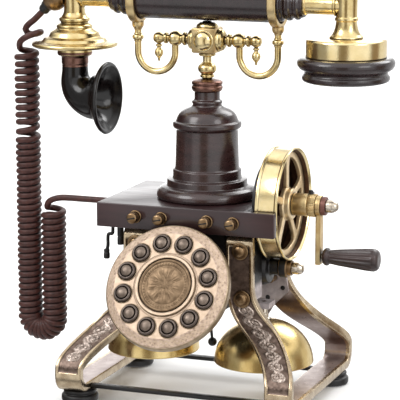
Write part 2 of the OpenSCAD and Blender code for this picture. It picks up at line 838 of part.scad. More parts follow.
module transmitter_stem() {
    color([0.7, 0.55, 0.3])
    union() {
        translate([-stem_x, 0, 0]) turned(concat([
            [0, 229.5], [9.2, 229.5], [9.2, 237.6], [12.3, 238.4], [12.3, disc_z - 1.6],
            [29.4, disc_z - 1.6], [30.6, disc_z - 0.8], [30.6, disc_z + 0.6],
            [23, disc_z + 2.4], [22, disc_z + 4], [18.4, disc_z + 5.6], [17.4, disc_z + 8.4],
            [13.6, disc_z + 10.8], [12.6, disc_z + 12], [12.6, disc_z + 13.8],
            [9.6, disc_z + 15], [10.8, disc_z + 16.6], [10.8, disc_z + 18.4], [8.6, disc_z + 20],
            [stem_r, disc_z + 21.4]
        ], stem_top));
        mirror([1, 0, 0]) along_handset() rod_x(tube_r, tube_x, stem_x);
    }
}

module transmitter_horn() {
    bend_x = -stem_x + horn_bend;
    bend_z = horn_axis_z + horn_bend;
    route = concat(
        [[-stem_x, 0, 229.5], [-stem_x, 0, 226]],
        [for (a = [180:15:270]) [bend_x + horn_bend * cos(a), 0, bend_z + horn_bend * sin(a)]]
    );
    radii = [9.2, 9.4, 10, 10.8, 11.8, 13, 14.2, 15.2, 16];
    color([0.04, 0.04, 0.04])
    difference() {
        union() {
            swept(route, radii, 32);
            translate([0, 0, horn_axis_z]) turned_x([
                [0, bend_x - 0.5], [16, bend_x - 0.5], [17.6, mouth_x - 7],
                [21, mouth_x - 4.6], [24.4, mouth_x - 3.6], [mouth_r, mouth_x - 2.2],
                [mouth_r, mouth_x - 0.8], [mouth_r - 1, mouth_x], [0, mouth_x]
            ]);
        }
        translate([0, 0, horn_axis_z]) turned_x([
            [0, bend_x - 8], [7, bend_x - 7], [12, bend_x - 2], [16.5, mouth_x - 4.5],
            [20.5, mouth_x - 2], [22.6, mouth_x + 1], [0, mouth_x + 1]
        ]);
    }
}

module cord_knob() {
    color([0.3, 0.22, 0.14])
    union() {
        along_handset() mirror([1, 0, 0]) turned_x([
            [0, 107.6], [5.4, 107.6], [5.4, 109], [8.6, 110.6], [10.4, 113], [10.8, 115.5],
            [10.4, 118], [8.6, 120.6], [5, 122], [0, 122.4]
        ]);
        translate(knob_c) rotate([0, 180 + atan2(-knob_exit.x, -knob_exit.z), 0])
            cylinder(r = 3.6, h = knob_reach);
    }
}

// ---- cord ----

module deck_gland() {
    color([0.1, 0.08, 0.08])
    translate([0, 0, gland_z]) mirror([1, 0, 0]) turned_x([
        [0, -gland_x - 8], [3, -gland_x - 8], [3, -gland_x], [6, -gland_x],
        [6, -gland_x + 1.4], [4.2, -gland_x + 2.4], [3.4, -cord_start_x], [0, -cord_start_x]
    ]);
}

module cord_stretch(route) {
    color([0.24, 0.12, 0.12]) swept(route, [for (p = route) cord_d / 2], 8);
}

module cord_lower() {
    cord_stretch(lower_route);
}

module cord_upper() {
    cord_stretch(upper_route);
}

module cord_coil() {
    color([0.24, 0.12, 0.12]) swept(coil_route, [for (p = coil_route) coil_d / 2], 12);
}

deck();
column();
column_collar();
hook_spring();
side_loop_left();
side_loop_right();
corner_blocks();
leg_screws();
cross_bars();
feet();
case_shell();
case_base();
line_jack();
bell_bar();
bell_posts();
bell_left();
bell_right();
ringer_coils();
clapper();
dial_bracket();
dial_housing();
dial_face();
dial_medallion();
key_board();
key(1);  // key_01
key(2);  // key_02
key(3);  // key_03
key(4);  // key_04
key(5);  // key_05
key(6);  // key_06
key(7);  // key_07
key(8);  // key_08
key(9);  // key_09
key(10);  // key_10
key(11);  // key_11
key(12);  // key_12
terminals();
wheel_bracket();
drive_wheel();
crank_shaft();
crank_arm();
crank_handle();
magneto_case();
magneto_rotor();
cradle_stem();
cradle_bar();
cradle_hooks();
handset_grip();
handset_collars();
handset_tubes();
receiver_stem();
receiver_cap();
receiver_shell();
transmitter_stem();
transmitter_horn();
cord_knob();
deck_gland();
cord_lower();
cord_coil();
cord_upper();
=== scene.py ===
"""Looks of the hand-crank desk telephone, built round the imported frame. Sizes are in millimetres."""

import math

import bmesh
import bpy
import numpy as np
from mathutils import Matrix, Vector


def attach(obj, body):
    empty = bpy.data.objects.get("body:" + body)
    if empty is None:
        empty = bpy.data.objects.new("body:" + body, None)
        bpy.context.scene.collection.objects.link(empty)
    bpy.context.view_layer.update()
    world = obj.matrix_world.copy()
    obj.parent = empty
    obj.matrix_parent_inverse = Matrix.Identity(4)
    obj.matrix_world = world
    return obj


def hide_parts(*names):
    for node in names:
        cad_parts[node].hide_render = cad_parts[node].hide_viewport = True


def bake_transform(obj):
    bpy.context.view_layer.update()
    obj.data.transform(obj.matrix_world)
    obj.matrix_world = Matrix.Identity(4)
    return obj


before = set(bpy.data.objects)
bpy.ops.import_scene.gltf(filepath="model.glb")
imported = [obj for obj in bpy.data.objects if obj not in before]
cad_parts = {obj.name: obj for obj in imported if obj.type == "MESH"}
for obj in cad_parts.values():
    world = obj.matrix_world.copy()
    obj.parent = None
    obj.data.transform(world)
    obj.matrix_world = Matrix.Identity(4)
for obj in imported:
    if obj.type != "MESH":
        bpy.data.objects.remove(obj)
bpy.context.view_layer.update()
MM = 0.001
TURN = 2 * math.pi


# ---- node materials ----


def tone(colour):
    """A colour given as it looks on a screen, as the linear one that a shader takes."""
    return tuple(c / 12.92 if c <= 0.04045 else ((c + 0.055) / 1.055) ** 2.4 for c in colour) + (1,)


class Look:
    """A material: two screen colours over a noise, darker in crevices by painted shade, with uneven gloss and a fine
    bump.
    """

    def __init__(self, name, light, dark, rough, metal=0.0, grain=180, stretch=(1, 1, 1), crevice=None,
                 reach=2.0, bump=0.05, fine=1500, coat=0.0, coat_rough=0.1, specular=0.5, sheen=0.0):
        self.material = bpy.data.materials.new(name)
        self.material.use_nodes = True
        self.tree = self.material.node_tree
        self.shader = self.tree.nodes["Principled BSDF"]
        place = self.add("ShaderNodeTexCoord").outputs["Object"]
        mapping = self.add("ShaderNodeMapping", {"Vector": place, "Scale": stretch})
        self.place = mapping.outputs[0]
        self.colour = self.ramp(self.noise(grain, 5), (0.35, tone(light)), (0.68, tone(dark)))
        # Painted shade: an occlusion mask mixes the crevice colour into hollows, creases and gaps between parts; on the
        # brasses it also stands for patina.
        if crevice:
            shade = self.add("ShaderNodeAmbientOcclusion", {"Distance": reach * MM})
            shade.samples = 8
            self.colour = self.mix(self.ramp(shade.outputs["AO"], (0.35, (1,) * 4), (0.85, (0,) * 3 + (1,))),
                                   self.colour, tone(crevice))
        span = self.add("ShaderNodeMapRange", {"Value": self.noise(grain * 2.3, 4), "From Min": 0.3,
                                               "From Max": 0.7, "To Min": rough[0], "To Max": rough[1]})
        self.join(self.colour, "Base Color")
        self.join(span.outputs[0], "Roughness")
        self.bump = self.add("ShaderNodeBump", {"Strength": 1.0, "Distance": bump * MM,
                                                "Height": self.noise(fine, 3)})
        self.join(self.bump.outputs[0], "Normal")
        for socket, value in (("Metallic", metal), ("Coat Weight", coat), ("Coat Roughness", coat_rough),
                              ("Specular IOR Level", specular), ("Sheen Weight", sheen)):
            self.shader.inputs[socket].default_value = value

    def add(self, kind, inputs=None):
        node = self.tree.nodes.new(kind)
        for key, value in (inputs or {}).items():
            if isinstance(value, bpy.types.NodeSocket):
                self.tree.links.new(value, node.inputs[key])
            else:
                node.inputs[key].default_value = value
        return node

    def join(self, output, socket):
        self.tree.links.new(output, self.shader.inputs[socket])

    def noise(self, scale, detail):
        return self.add("ShaderNodeTexNoise", {"Vector": self.place, "Scale": scale, "Detail": detail}).outputs[0]

    def ramp(self, value, *stops):
        node = self.add("ShaderNodeValToRGB", {"Fac": value})
        while len(node.color_ramp.elements) < len(stops):
            node.color_ramp.elements.new(0.5)
        for element, (place, colour) in zip(node.color_ramp.elements, stops):
            element.position, element.color = place, colour
        return node.outputs[0]

    def mix(self, factor, a, b):
        node = self.tree.nodes.new("ShaderNodeMix")
        node.data_type = "RGBA"
        for socket, value in zip((node.inputs[0], node.inputs[6], node.inputs[7]), (factor, a, b)):
            if isinstance(value, bpy.types.NodeSocket):
                self.tree.links.new(value, socket)
            else:
                socket.default_value = value
        return node.outputs[2]

    def banded_by_height(self, colour, *stops):
        """Adds a colour by height, each stop a share of 0.15 m and how much of it shows there."""
        level = self.add("ShaderNodeSeparateXYZ", {"Vector": self.place}).outputs[2]
        up = self.add("ShaderNodeMapRange", {"Value": level, "From Max": 0.15})
        amount = self.ramp(up.outputs[0], *((place, (much,) * 3 + (1,)) for place, much in stops))
        self.colour = self.mix(amount, self.colour, tone(colour))
        self.join(self.colour, "Base Color")
        return self

    def stripes(self, scale, depth, direction="Z"):
        """Adds even ridges to the bump, and paints shade into the colour between them."""
        wave = self.add("ShaderNodeTexWave", {"Vector": self.place, "Scale": scale})
        wave.bands_direction = direction
        bump = self.add("ShaderNodeBump", {"Strength": 1.0, "Distance": depth * MM, "Height": wave.outputs["Fac"],
                                           "Normal": self.bump.outputs[0]})
        self.join(bump.outputs[0], "Normal")
        self.colour = self.mix(self.ramp(wave.outputs["Fac"], (0.0, (0.6,) * 3 + (1,)), (0.5, (0,) * 3 + (1,))),
                               self.colour, tone((0.05, 0.03, 0.02)))
        self.join(self.colour, "Base Color")
        return self


# Crevice colour of the brasses: their patina together with painted shade.
PATINA_AND_SHADE = (0.2, 0.13, 0.06)
LOOKS = {
    "brass": Look("antique_brass", (0.88, 0.8, 0.6), (0.78, 0.68, 0.46), (0.16, 0.27), 1, 140,
                  crevice=PATINA_AND_SHADE, reach=3.0),
    "bright": Look("bright_brass", (0.92, 0.85, 0.67), (0.87, 0.78, 0.57), (0.1, 0.2), 1, 90,
                   crevice=PATINA_AND_SHADE, reach=2.0),
    "bell": Look("bell_brass", (0.87, 0.78, 0.56), (0.79, 0.68, 0.44), (0.17, 0.28), 1, 80,
                 crevice=PATINA_AND_SHADE, reach=2.0),
    "satin": Look("satin_brass", (0.86, 0.77, 0.58), (0.77, 0.65, 0.46), (0.27, 0.38), 1, 160,
                  crevice=PATINA_AND_SHADE, reach=2.5),
    "pink": Look("pink_brass", (0.93, 0.85, 0.7), (0.85, 0.74, 0.57), (0.3, 0.42), 0.8, 150,
                 crevice=PATINA_AND_SHADE, reach=2.0),
    "umber": Look("wheel_inside", (0.36, 0.25, 0.17), (0.24, 0.16, 0.11), (0.4, 0.55), 0.6, 160,
                  crevice=(0.06, 0.04, 0.03), reach=3.0),
    "cream": Look("dial_cream", (0.78, 0.69, 0.6), (0.7, 0.61, 0.52), (0.38, 0.5), 0.4, 220,
                  crevice=(0.36, 0.27, 0.2), reach=1.6),
    "band": Look("dial_band", (0.78, 0.69, 0.62), (0.55, 0.46, 0.39), (0.38, 0.5), 0.4, 420,
                 crevice=(0.4, 0.28, 0.22), reach=0.5),
    "gilt": Look("dial_ring", (0.68, 0.61, 0.52), (0.56, 0.49, 0.4), (0.3, 0.42), 0.9, 200,
                 crevice=(0.35, 0.26, 0.16), reach=1.5),
    "medal": Look("dial_medal", (0.53, 0.44, 0.34), (0.41, 0.33, 0.245), (0.34, 0.46), 0.7, 260,
                  crevice=(0.12, 0.08, 0.05), reach=1.6),
    "bronze": Look("dark_bronze", (0.6, 0.5, 0.38), (0.48, 0.38, 0.27), (0.3, 0.44), 1, 260,
                   crevice=(0.1, 0.07, 0.04), reach=2.0),
    "copper": Look("aged_copper", (0.54, 0.41, 0.36), (0.42, 0.3, 0.27), (0.25, 0.38), 1, 200,
                   crevice=(0.16, 0.08, 0.05), reach=2.0),
    "field": Look("strap_field", (0.48, 0.41, 0.37), (0.32, 0.265, 0.235), (0.34, 0.48), 0.8, 320,
                  crevice=(0.07, 0.05, 0.04), reach=1.0),
    "scroll": Look("strap_scroll", (0.76, 0.7, 0.66), (0.62, 0.56, 0.52), (0.3, 0.42), 0.9, 420,
                   crevice=(0.25, 0.19, 0.15), reach=0.8),
    "border": Look("strap_border", (0.78, 0.71, 0.6), (0.62, 0.54, 0.44), (0.2, 0.32), 1, 150,
                   crevice=(0.3, 0.22, 0.13), reach=0.6, bump=0.02),
    # The strap's inner face: its brown bands by height are painted reflection of dark surroundings on the polished
    # metal.
    "lining": Look("strap_lining", (0.76, 0.7, 0.68), (0.64, 0.57, 0.55), (0.26, 0.38), 0.8, 110)
    .banded_by_height((0.34, 0.24, 0.19), (0.1, 0), (0.2, 0.9), (0.28, 0.25), (0.34, 0.7), (0.42, 0.8), (0.48, 0)),
    "grey": Look("grey_steel", (0.72, 0.68, 0.68), (0.6, 0.56, 0.56), (0.36, 0.5), 0.4, 240,
                 crevice=(0.2, 0.16, 0.15), reach=2.0),
    "gusset": Look("gusset_steel", (0.72, 0.68, 0.68), (0.6, 0.56, 0.56), (0.36, 0.5), 0.4, 240,
                   crevice=(0.2, 0.16, 0.15), reach=2.0).banded_by_height((0.06, 0.05, 0.05), (0.57, 0), (0.6, 1)),
    "lacquer": Look("black_lacquer", (0.2, 0.115, 0.12), (0.13, 0.075, 0.08), (0.3, 0.42), 0, 35,
                    stretch=(0.35, 3, 3), bump=0.02, fine=500, coat=0.5, coat_rough=0.12, specular=0.35),
    "turned": Look("turned_lacquer", (0.2, 0.12, 0.115), (0.13, 0.075, 0.075), (0.22, 0.34), 0, 60,
                   stretch=(1, 1, 3), bump=0.02, fine=500, coat=0.5, coat_rough=0.16),
    "gloss": Look("black_gloss", (0.05, 0.035, 0.035), (0.03, 0.02, 0.02), (0.14, 0.22), 0, 120,
                  bump=0.01, coat=0.1, coat_rough=0.08, specular=0.4),
    "plum": Look("dark_shell", (0.14, 0.085, 0.09), (0.09, 0.055, 0.06), (0.2, 0.32), 0, 120,
                 bump=0.02, coat=0.4, coat_rough=0.12),
    "wood": Look("dark_wood", (0.2, 0.12, 0.11), (0.12, 0.07, 0.065), (0.3, 0.42), 0, 90,
                 stretch=(0.25, 2, 2), bump=0.05, fine=900, coat=0.25, coat_rough=0.2),
    "black": Look("black_paint", (0.08, 0.07, 0.075), (0.045, 0.04, 0.045), (0.32, 0.48), 0.1, 160,
                  bump=0.06, fine=1200),
    "rubber": Look("foot_rubber", (0.08, 0.07, 0.075), (0.045, 0.04, 0.045), (0.36, 0.52), 0, 300,
                   bump=0.09, fine=1600),
    "plastic": Look("black_plastic", (0.1, 0.095, 0.1), (0.06, 0.055, 0.06), (0.35, 0.5), 0, 260, bump=0.05),
    "key": Look("key_body", (0.4, 0.355, 0.325), (0.28, 0.245, 0.225), (0.28, 0.4), 0.7, 260,
                crevice=(0.03, 0.025, 0.025), reach=1.6),
    # The dome is a lighter copy of the key body's bronze: a painted highlight on its top.
    "dome": Look("key_dome", (0.5, 0.445, 0.4), (0.37, 0.32, 0.285), (0.3, 0.42), 0.7, 240,
                 crevice=(0.06, 0.05, 0.045), reach=1.2),
    "steel": Look("bright_steel", (0.86, 0.82, 0.76), (0.72, 0.67, 0.6), (0.16, 0.28), 1, 200,
                  crevice=(0.15, 0.12, 0.1), reach=1.5),
    "washer": Look("red_fibre", (0.5, 0.34, 0.3), (0.36, 0.22, 0.2), (0.32, 0.45), 0.5, 200),
    "enamel": Look("coil_enamel", (0.66, 0.34, 0.16), (0.48, 0.2, 0.09), (0.2, 0.3), 0.3, 200)
    .stripes(320, 0.12),
    "board": Look("circuit_board", (0.12, 0.36, 0.2), (0.08, 0.26, 0.14), (0.3, 0.42), 0, 240, coat=0.4),
    "cord": Look("cord_cover", (0.28, 0.145, 0.12), (0.2, 0.095, 0.08), (0.36, 0.52), 0, 420, bump=0.05,
                 fine=2600, crevice=(0.05, 0.02, 0.02), reach=2.2, specular=0.35, sheen=0.05),
}


# ---- shapes, each as (points, faces) ----


def unit(v):
    return v / np.linalg.norm(v)


def softened(outline, fillet, loop):
    """The outline with each corner rounded."""
    pts = [np.array(p, float) for p in outline]
    n = len(pts)
    out = []
    for i, c in enumerate(pts):
        if not loop and i in (0, n - 1):
            out.append(c)
            continue
        a, b = pts[i - 1], pts[(i + 1) % n]
        la, lb = np.linalg.norm(a - c), np.linalg.norm(b - c)
        bend = math.acos(np.clip(np.dot(unit(c - a), unit(b - c)), -1, 1)) if la * lb > 0 else 0
        size = min(fillet, 0.42 * la, 0.42 * lb)
        if bend < 0.2 or size < 0.01:
            out.append(c)
            continue
        p, q = c + (a - c) * size / la, c + (b - c) * size / lb
        steps = 4 if bend > 0.9 else 3
        out += [(1 - t) ** 2 * p + 2 * t * (1 - t) * c + t * t * q for t in np.linspace(0, 1, steps)]
    return out


def lathe(outline, seg=96, fillet=0.25, ripple=None):
    """A turned shape about Z from [radius, height]; ripple(angle, height) scales the radius."""
    loop = outline[0][0] > 1e-6 and outline[-1][0] > 1e-6
    points, rows, faces = [], [], []
    for r, h in softened(outline, fillet, loop):
        rows.append(list(range(len(points), len(points) + (1 if r < 1e-6 else seg))))
        for j in range(len(rows[-1])):
            a = TURN * j / seg
            rr = r * (ripple(a, h) if ripple else 1)
            points.append((rr * math.cos(a), rr * math.sin(a), h))
    pairs = list(zip(rows, rows[1:])) + ([(rows[-1], rows[0])] if loop else [])
    for low, high in pairs:
        for j in range(seg):
            k = (j + 1) % seg
            if len(low) > 1 and len(high) > 1:
                faces.append((low[j], low[k], high[k], high[j]))
            elif len(low) > 1:
                faces.append((low[j], low[k], high[0]))
            elif len(high) > 1:
                faces.append((low[0], high[k], high[j]))
    return np.array(points), faces


def rings(centres, ways, radii, sides):
    """A skin over rings, each with its two directions and radius; the ends are capped."""
    angles = np.arange(sides) * TURN / sides
    points = np.concatenate([c + r * (np.outer(np.cos(angles), a) + np.outer(np.sin(angles), b))
                             for c, (a, b), r in zip(centres, ways, radii)])
    n = len(centres)
    faces = [(i * sides + j, i * sides + (j + 1) % sides, (i + 1) * sides + (j + 1) % sides, (i + 1) * sides + j)
             for i in range(n - 1) for j in range(sides)]
    faces += [tuple(range(sides))[::-1], tuple(range((n - 1) * sides, n * sides))]
    return points, faces


def carried_frames(path):
    """The path as an array, and at each point two directions across it that don't twist along it."""
    path = np.array(path, float)
    tangents = [unit(path[min(i + 1, len(path) - 1)] - path[max(i - 1, 0)]) for i in range(len(path))]
    ways, side = [], np.array((0.0, 1, 0))
    for t in tangents:
        side = unit(side - side.dot(t) * t)
        ways.append((side, np.cross(t, side)))
    return path, ways


def tube(path, radius, sides):
    path, ways = carried_frames(path)
    return rings(path, ways, [radius] * len(path), sides)


def spline(points, step):
    """A smooth line through the points, at about even steps."""
    p = np.array(points, float)
    p = np.vstack([2 * p[0] - p[1], p, 2 * p[-1] - p[-2]])
    out = []
    for i in range(1, len(p) - 2):
        n = max(2, int(np.linalg.norm(p[i + 1] - p[i]) / step))
        for t in np.arange(n) / n:
            out.append(0.5 * (2 * p[i] + (p[i + 1] - p[i - 1]) * t
                              + (2 * p[i - 1] - 5 * p[i] + 4 * p[i + 1] - p[i + 2]) * t * t
                              + (3 * p[i] - p[i - 1] - 3 * p[i + 1] + p[i + 2]) * t ** 3))
    return np.array(out + [p[-2]])


def slab(outline, low, high, bevel=0.4, steps=2):
    """A flat outline in XY given a thickness, its edges rounded."""
    bm = bmesh.new()
    face = bm.faces.new([bm.verts.new((x, y, low)) for x, y in outline])
    made = bmesh.ops.extrude_face_region(bm, geom=[face])["geom"]
    for v in made:
        if isinstance(v, bmesh.types.BMVert):
            v.co.z = high
    bm.normal_update()
    edges = [e for e in bm.edges if e.calc_face_angle(0) > 0.5]
    bmesh.ops.bevel(bm, geom=edges, offset=bevel, segments=steps, profile=0.5, affect="EDGES", clamp_overlap=True)
    bm.verts.index_update()
    shape = np.array([v.co[:] for v in bm.verts]), [tuple(v.index for v in f.verts) for f in bm.faces]
    bm.free()
    return shape


def block(low, high, bevel=0.4):
    (x0, y0, z0), (x1, y1, z1) = low, high
    return slab([(x0, y0), (x1, y0), (x1, y1), (x0, y1)], z0, z1, bevel)


def put(shape, matrix):
    points, faces = shape
    m = np.array(matrix)
    return points @ m[:3, :3].T + m[:3, 3], faces


def turned(look, outline, place, seg=96, fillet=0.25, ripple=None):
    """A turned shape in its look, moved to its place."""
    return look, put(lathe(outline, seg, fillet, ripple), place)


def at(x, y, z):
    return Matrix.Translation((x, y, z))


def spun(angle, axis):
    return Matrix.Rotation(math.radians(angle), 4, axis)


def mirrored(axis):
    return Matrix.Scale(-1, 4, axis)


TO_X = spun(90, "Y")
LAY_X = Matrix(((0, 0, 1, 0), (1, 0, 0, 0), (0, 1, 0, 0), (0, 0, 0, 1)))
FLIP_X = mirrored((1, 0, 0))
FLIP_Y = mirrored((0, 1, 0))
DECK_LOW, DECK_TOP = 125.0, 142.0
GRIP_Z, STEM_X = 279.7, 100.5
HUB_Z, MAGNETO_Z, HANDLE_DROP = 141.0, 95.4, -35.5
CORD_Z = 134.0


def make(name, body, parts, replaces=(), crease=38):
    """One piece from (look, shape) parts; it rides on a body and may stand for CAD nodes."""
    mesh = bpy.data.meshes.new(name)
    points, faces, kinds, used = [], [], [], []
    for look, (pts, fcs) in parts:
        if look not in used:
            used.append(look)
            mesh.materials.append(LOOKS[look].material)
        start = sum(len(p) for p in points)
        points.append(np.array(pts, float))
        faces += [tuple(i + start for i in f) for f in fcs]
        kinds += [used.index(look)] * len(fcs)
    mesh.from_pydata((np.concatenate(points) * MM).tolist(), [], faces)
    mesh.polygons.foreach_set("material_index", kinds)
    bm = bmesh.new()
    bm.from_mesh(mesh)
    bmesh.ops.recalc_face_normals(bm, faces=bm.faces)
    for f in bm.faces:
        f.smooth = True
    for e in bm.edges:
        e.smooth = e.calc_face_angle(0) < math.radians(crease)
    bm.to_mesh(mesh)
    bm.free()
    piece = bpy.data.objects.new(name, mesh)
    bpy.context.scene.collection.objects.link(piece)
    if body:
        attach(piece, body)
    if replaces:
        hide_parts(*replaces)
    return piece


# ---- camera and cord ----

VIEW_FROM = Vector((498.6, -1337.6, 413.4))
VIEW_TO = Vector((0, 0, 138.1))


def add_camera():
    data = bpy.data.cameras.new("camera")
    data.sensor_width, data.lens = 36, 185.7
    data.shift_x, data.shift_y = -0.018, 0.005
    data.clip_end = 100
    camera = bpy.data.objects.new("camera", data)
    bpy.context.scene.collection.objects.link(camera)
    camera.location = VIEW_FROM * MM
    camera.rotation_euler = (VIEW_TO - VIEW_FROM).to_track_quat("-Z", "Y").to_euler()
    bpy.context.scene.camera = camera


CORD_D = 4.6
COIL_R = 6.9
LIMB_LEFT, LIMB_RIGHT, BEND_Z = -138.3, -119.0, 45.0
LOWER = [(-73, 0, 134), (-84, 0, 134), (-96, 0, 134), (-108, 0, 134), (-114.5, 0, 133.5), (-119.6, 0, 132),
         (-122.6, 0, 130), (-123.8, 0, 127.6)]
UPPER = [(-143.8, 2, 240.2), (-143.5, -1, 243), (-140.5, -5, 247), (-135, -6.5, 250.4), (-130, -4.5, 252.4),
         (-127.5, 0, 253.4), (-129.5, 4.5, 252.6), (-134.5, 6.5, 251), (-138.6, 5, 251.4), (-140, 2, 254.8),
         (-136.6, 0.5, 258.6), (-132, 0, 262), (-125.25, 0, 268.3)]


def coil_line():
    """The curly stretch: a helix about a line that goes down, round a bend and up."""
    mid, half = (LIMB_LEFT + LIMB_RIGHT) / 2, (LIMB_RIGHT - LIMB_LEFT) / 2
    line = [(LIMB_RIGHT, 0, z) for z in np.arange(126, BEND_Z, -0.25)]
    line += [(mid + half * math.cos(a), 0, BEND_Z + half * math.sin(a)) for a in np.linspace(0, -math.pi, 120)]
    line += [(LIMB_LEFT, 0, z) for z in np.arange(BEND_Z + 0.25, 241.5, 0.25)]
    line, ways = carried_frames(line)
    phase, out, last, grown = math.pi, [], 0.0, 0.7
    for i in range(len(line) - 1):
        z = line[i][2]
        in_bend = z < BEND_Z
        pitch = 3.0 if in_bend else 4.5
        if line[i][0] < mid:
            pitch += 4.2 * math.exp(-((z - 182) / 4.5) ** 2) + 0.74 * np.clip((z - 185) / 10, 0, 1)
        else:
            pitch += 6 * np.clip((z - 122) / 4, 0, 1)
        step = np.linalg.norm(line[i + 1] - line[i])
        phase += TURN * step / pitch
        grown = min(1, grown + step / 5)
        if phase - last < TURN / 14:
            continue
        last = phase
        radius = COIL_R * grown * (1 + 0.025 * math.sin(phase * 0.37) + 0.02 * math.sin(phase * 0.113))
        side, up = ways[i]
        out.append(line[i] + radius * (math.cos(phase) * up - math.sin(phase) * side))
    last_turn = range(len(out) - 12, len(out))
    return out[:min(last_turn, key=lambda k: np.linalg.norm(out[k] - UPPER[0]))]


def add_cord():
    path = spline(LOWER + coil_line() + UPPER, 1.8)
    piece = make("cord", None, [("cord", tube(path, CORD_D / 2, 10))],
                 ["cord_lower", "cord_coil", "cord_upper"])
    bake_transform(piece)


add_camera()
add_cord()


# ---- deck, column and cradle ----

def add_deck():
    outline = [(-65, -46), (65, -46), (65, -40.5), (43, -40.5), (43, 40.5), (65, 40.5), (65, 46), (-65, 46)]
    make("deck_slab", "base", [("lacquer", slab(outline, DECK_LOW, DECK_TOP, 0.7, 3))], ["deck"])
    column = [
        (0, 0), (34.2, 0), (35.3, 0.9), (35.6, 2.4), (35.2, 4.4), (34, 6.4), (31.8, 8), (30, 8.6), (28.6, 8.9),
        (28.3, 9.4), (28.3, 13.1), (27.9, 13.6), (24.6, 13.8), (24.1, 14.3), (24.1, 19.8), (23.7, 20.4), (22.8, 20.8),
        (22.5, 22), (22.2, 30), (21.9, 40), (21.7, 48.4), (22.6, 49), (23.8, 49.9), (24.1, 50.9), (24.1, 52.9),
        (23.6, 53.8), (22, 54.3), (21.6, 55.2), (21, 57), (19.8, 59.2), (18, 61), (15.4, 62.6), (12.4, 63.8),
        (10.6, 64.7), (10.2, 65.4), (10.2, 66.3), (10.7, 66.8), (10.7, 67.8), (10.2, 68.5), (9, 69.3), (8.9, 70.2),
        (8.9, 75), (4, 75), (4, 40), (0, 40)
    ]
    make("column_turning", "base", [turned("turned", column, at(0, 0, DECK_TOP), 128, 0.5)],
         ["column"])
    collar = [(3.55, 217), (9.7, 217), (10.4, 217.8), (10.9, 219.2), (10.9, 220.4), (10.2, 221), (10.2, 221.5),
              (10.8, 222.1), (10.8, 223.6), (9.6, 224.6), (7.6, 225), (5.4, 225.6), (3.55, 225.6)]
    make("column_ring", "base", [("copper", lathe(collar, 96, 0.2))], ["column_collar"])


ARM = [
    (0, 8), (7.6, 8), (8, 8.6), (8, 9.7), (7.3, 10.4), (7, 12), (5, 13.4), (2.9, 14), (2.9, 15), (4.4, 15.6),
    (4.8, 16.5), (4.4, 17.4), (3, 18.2), (3, 19), (4.2, 20), (5.1, 21.8), (5.3, 23.5), (5.1, 25.2), (4.2, 27),
    (2.6, 28), (2.6, 29), (3.8, 29.6), (4, 30.5), (3.8, 31.4), (2.4, 32), (3, 33), (3.9, 34.6), (4.1, 36),
    (3.8, 37.6), (2.8, 39.2), (1.4, 39.8), (0, 40)
]
DROP = [(0, -16.6), (0.7, -16.2), (0.9, -15), (1.1, -14), (2.2, -12.8), (3, -11.2), (3.1, -10), (2.6, -8.4),
        (1.4, -7), (1.4, -6.2), (2.2, -5.7), (2.2, -4.9), (1.2, -4), (1.2, 0), (0, 0)]


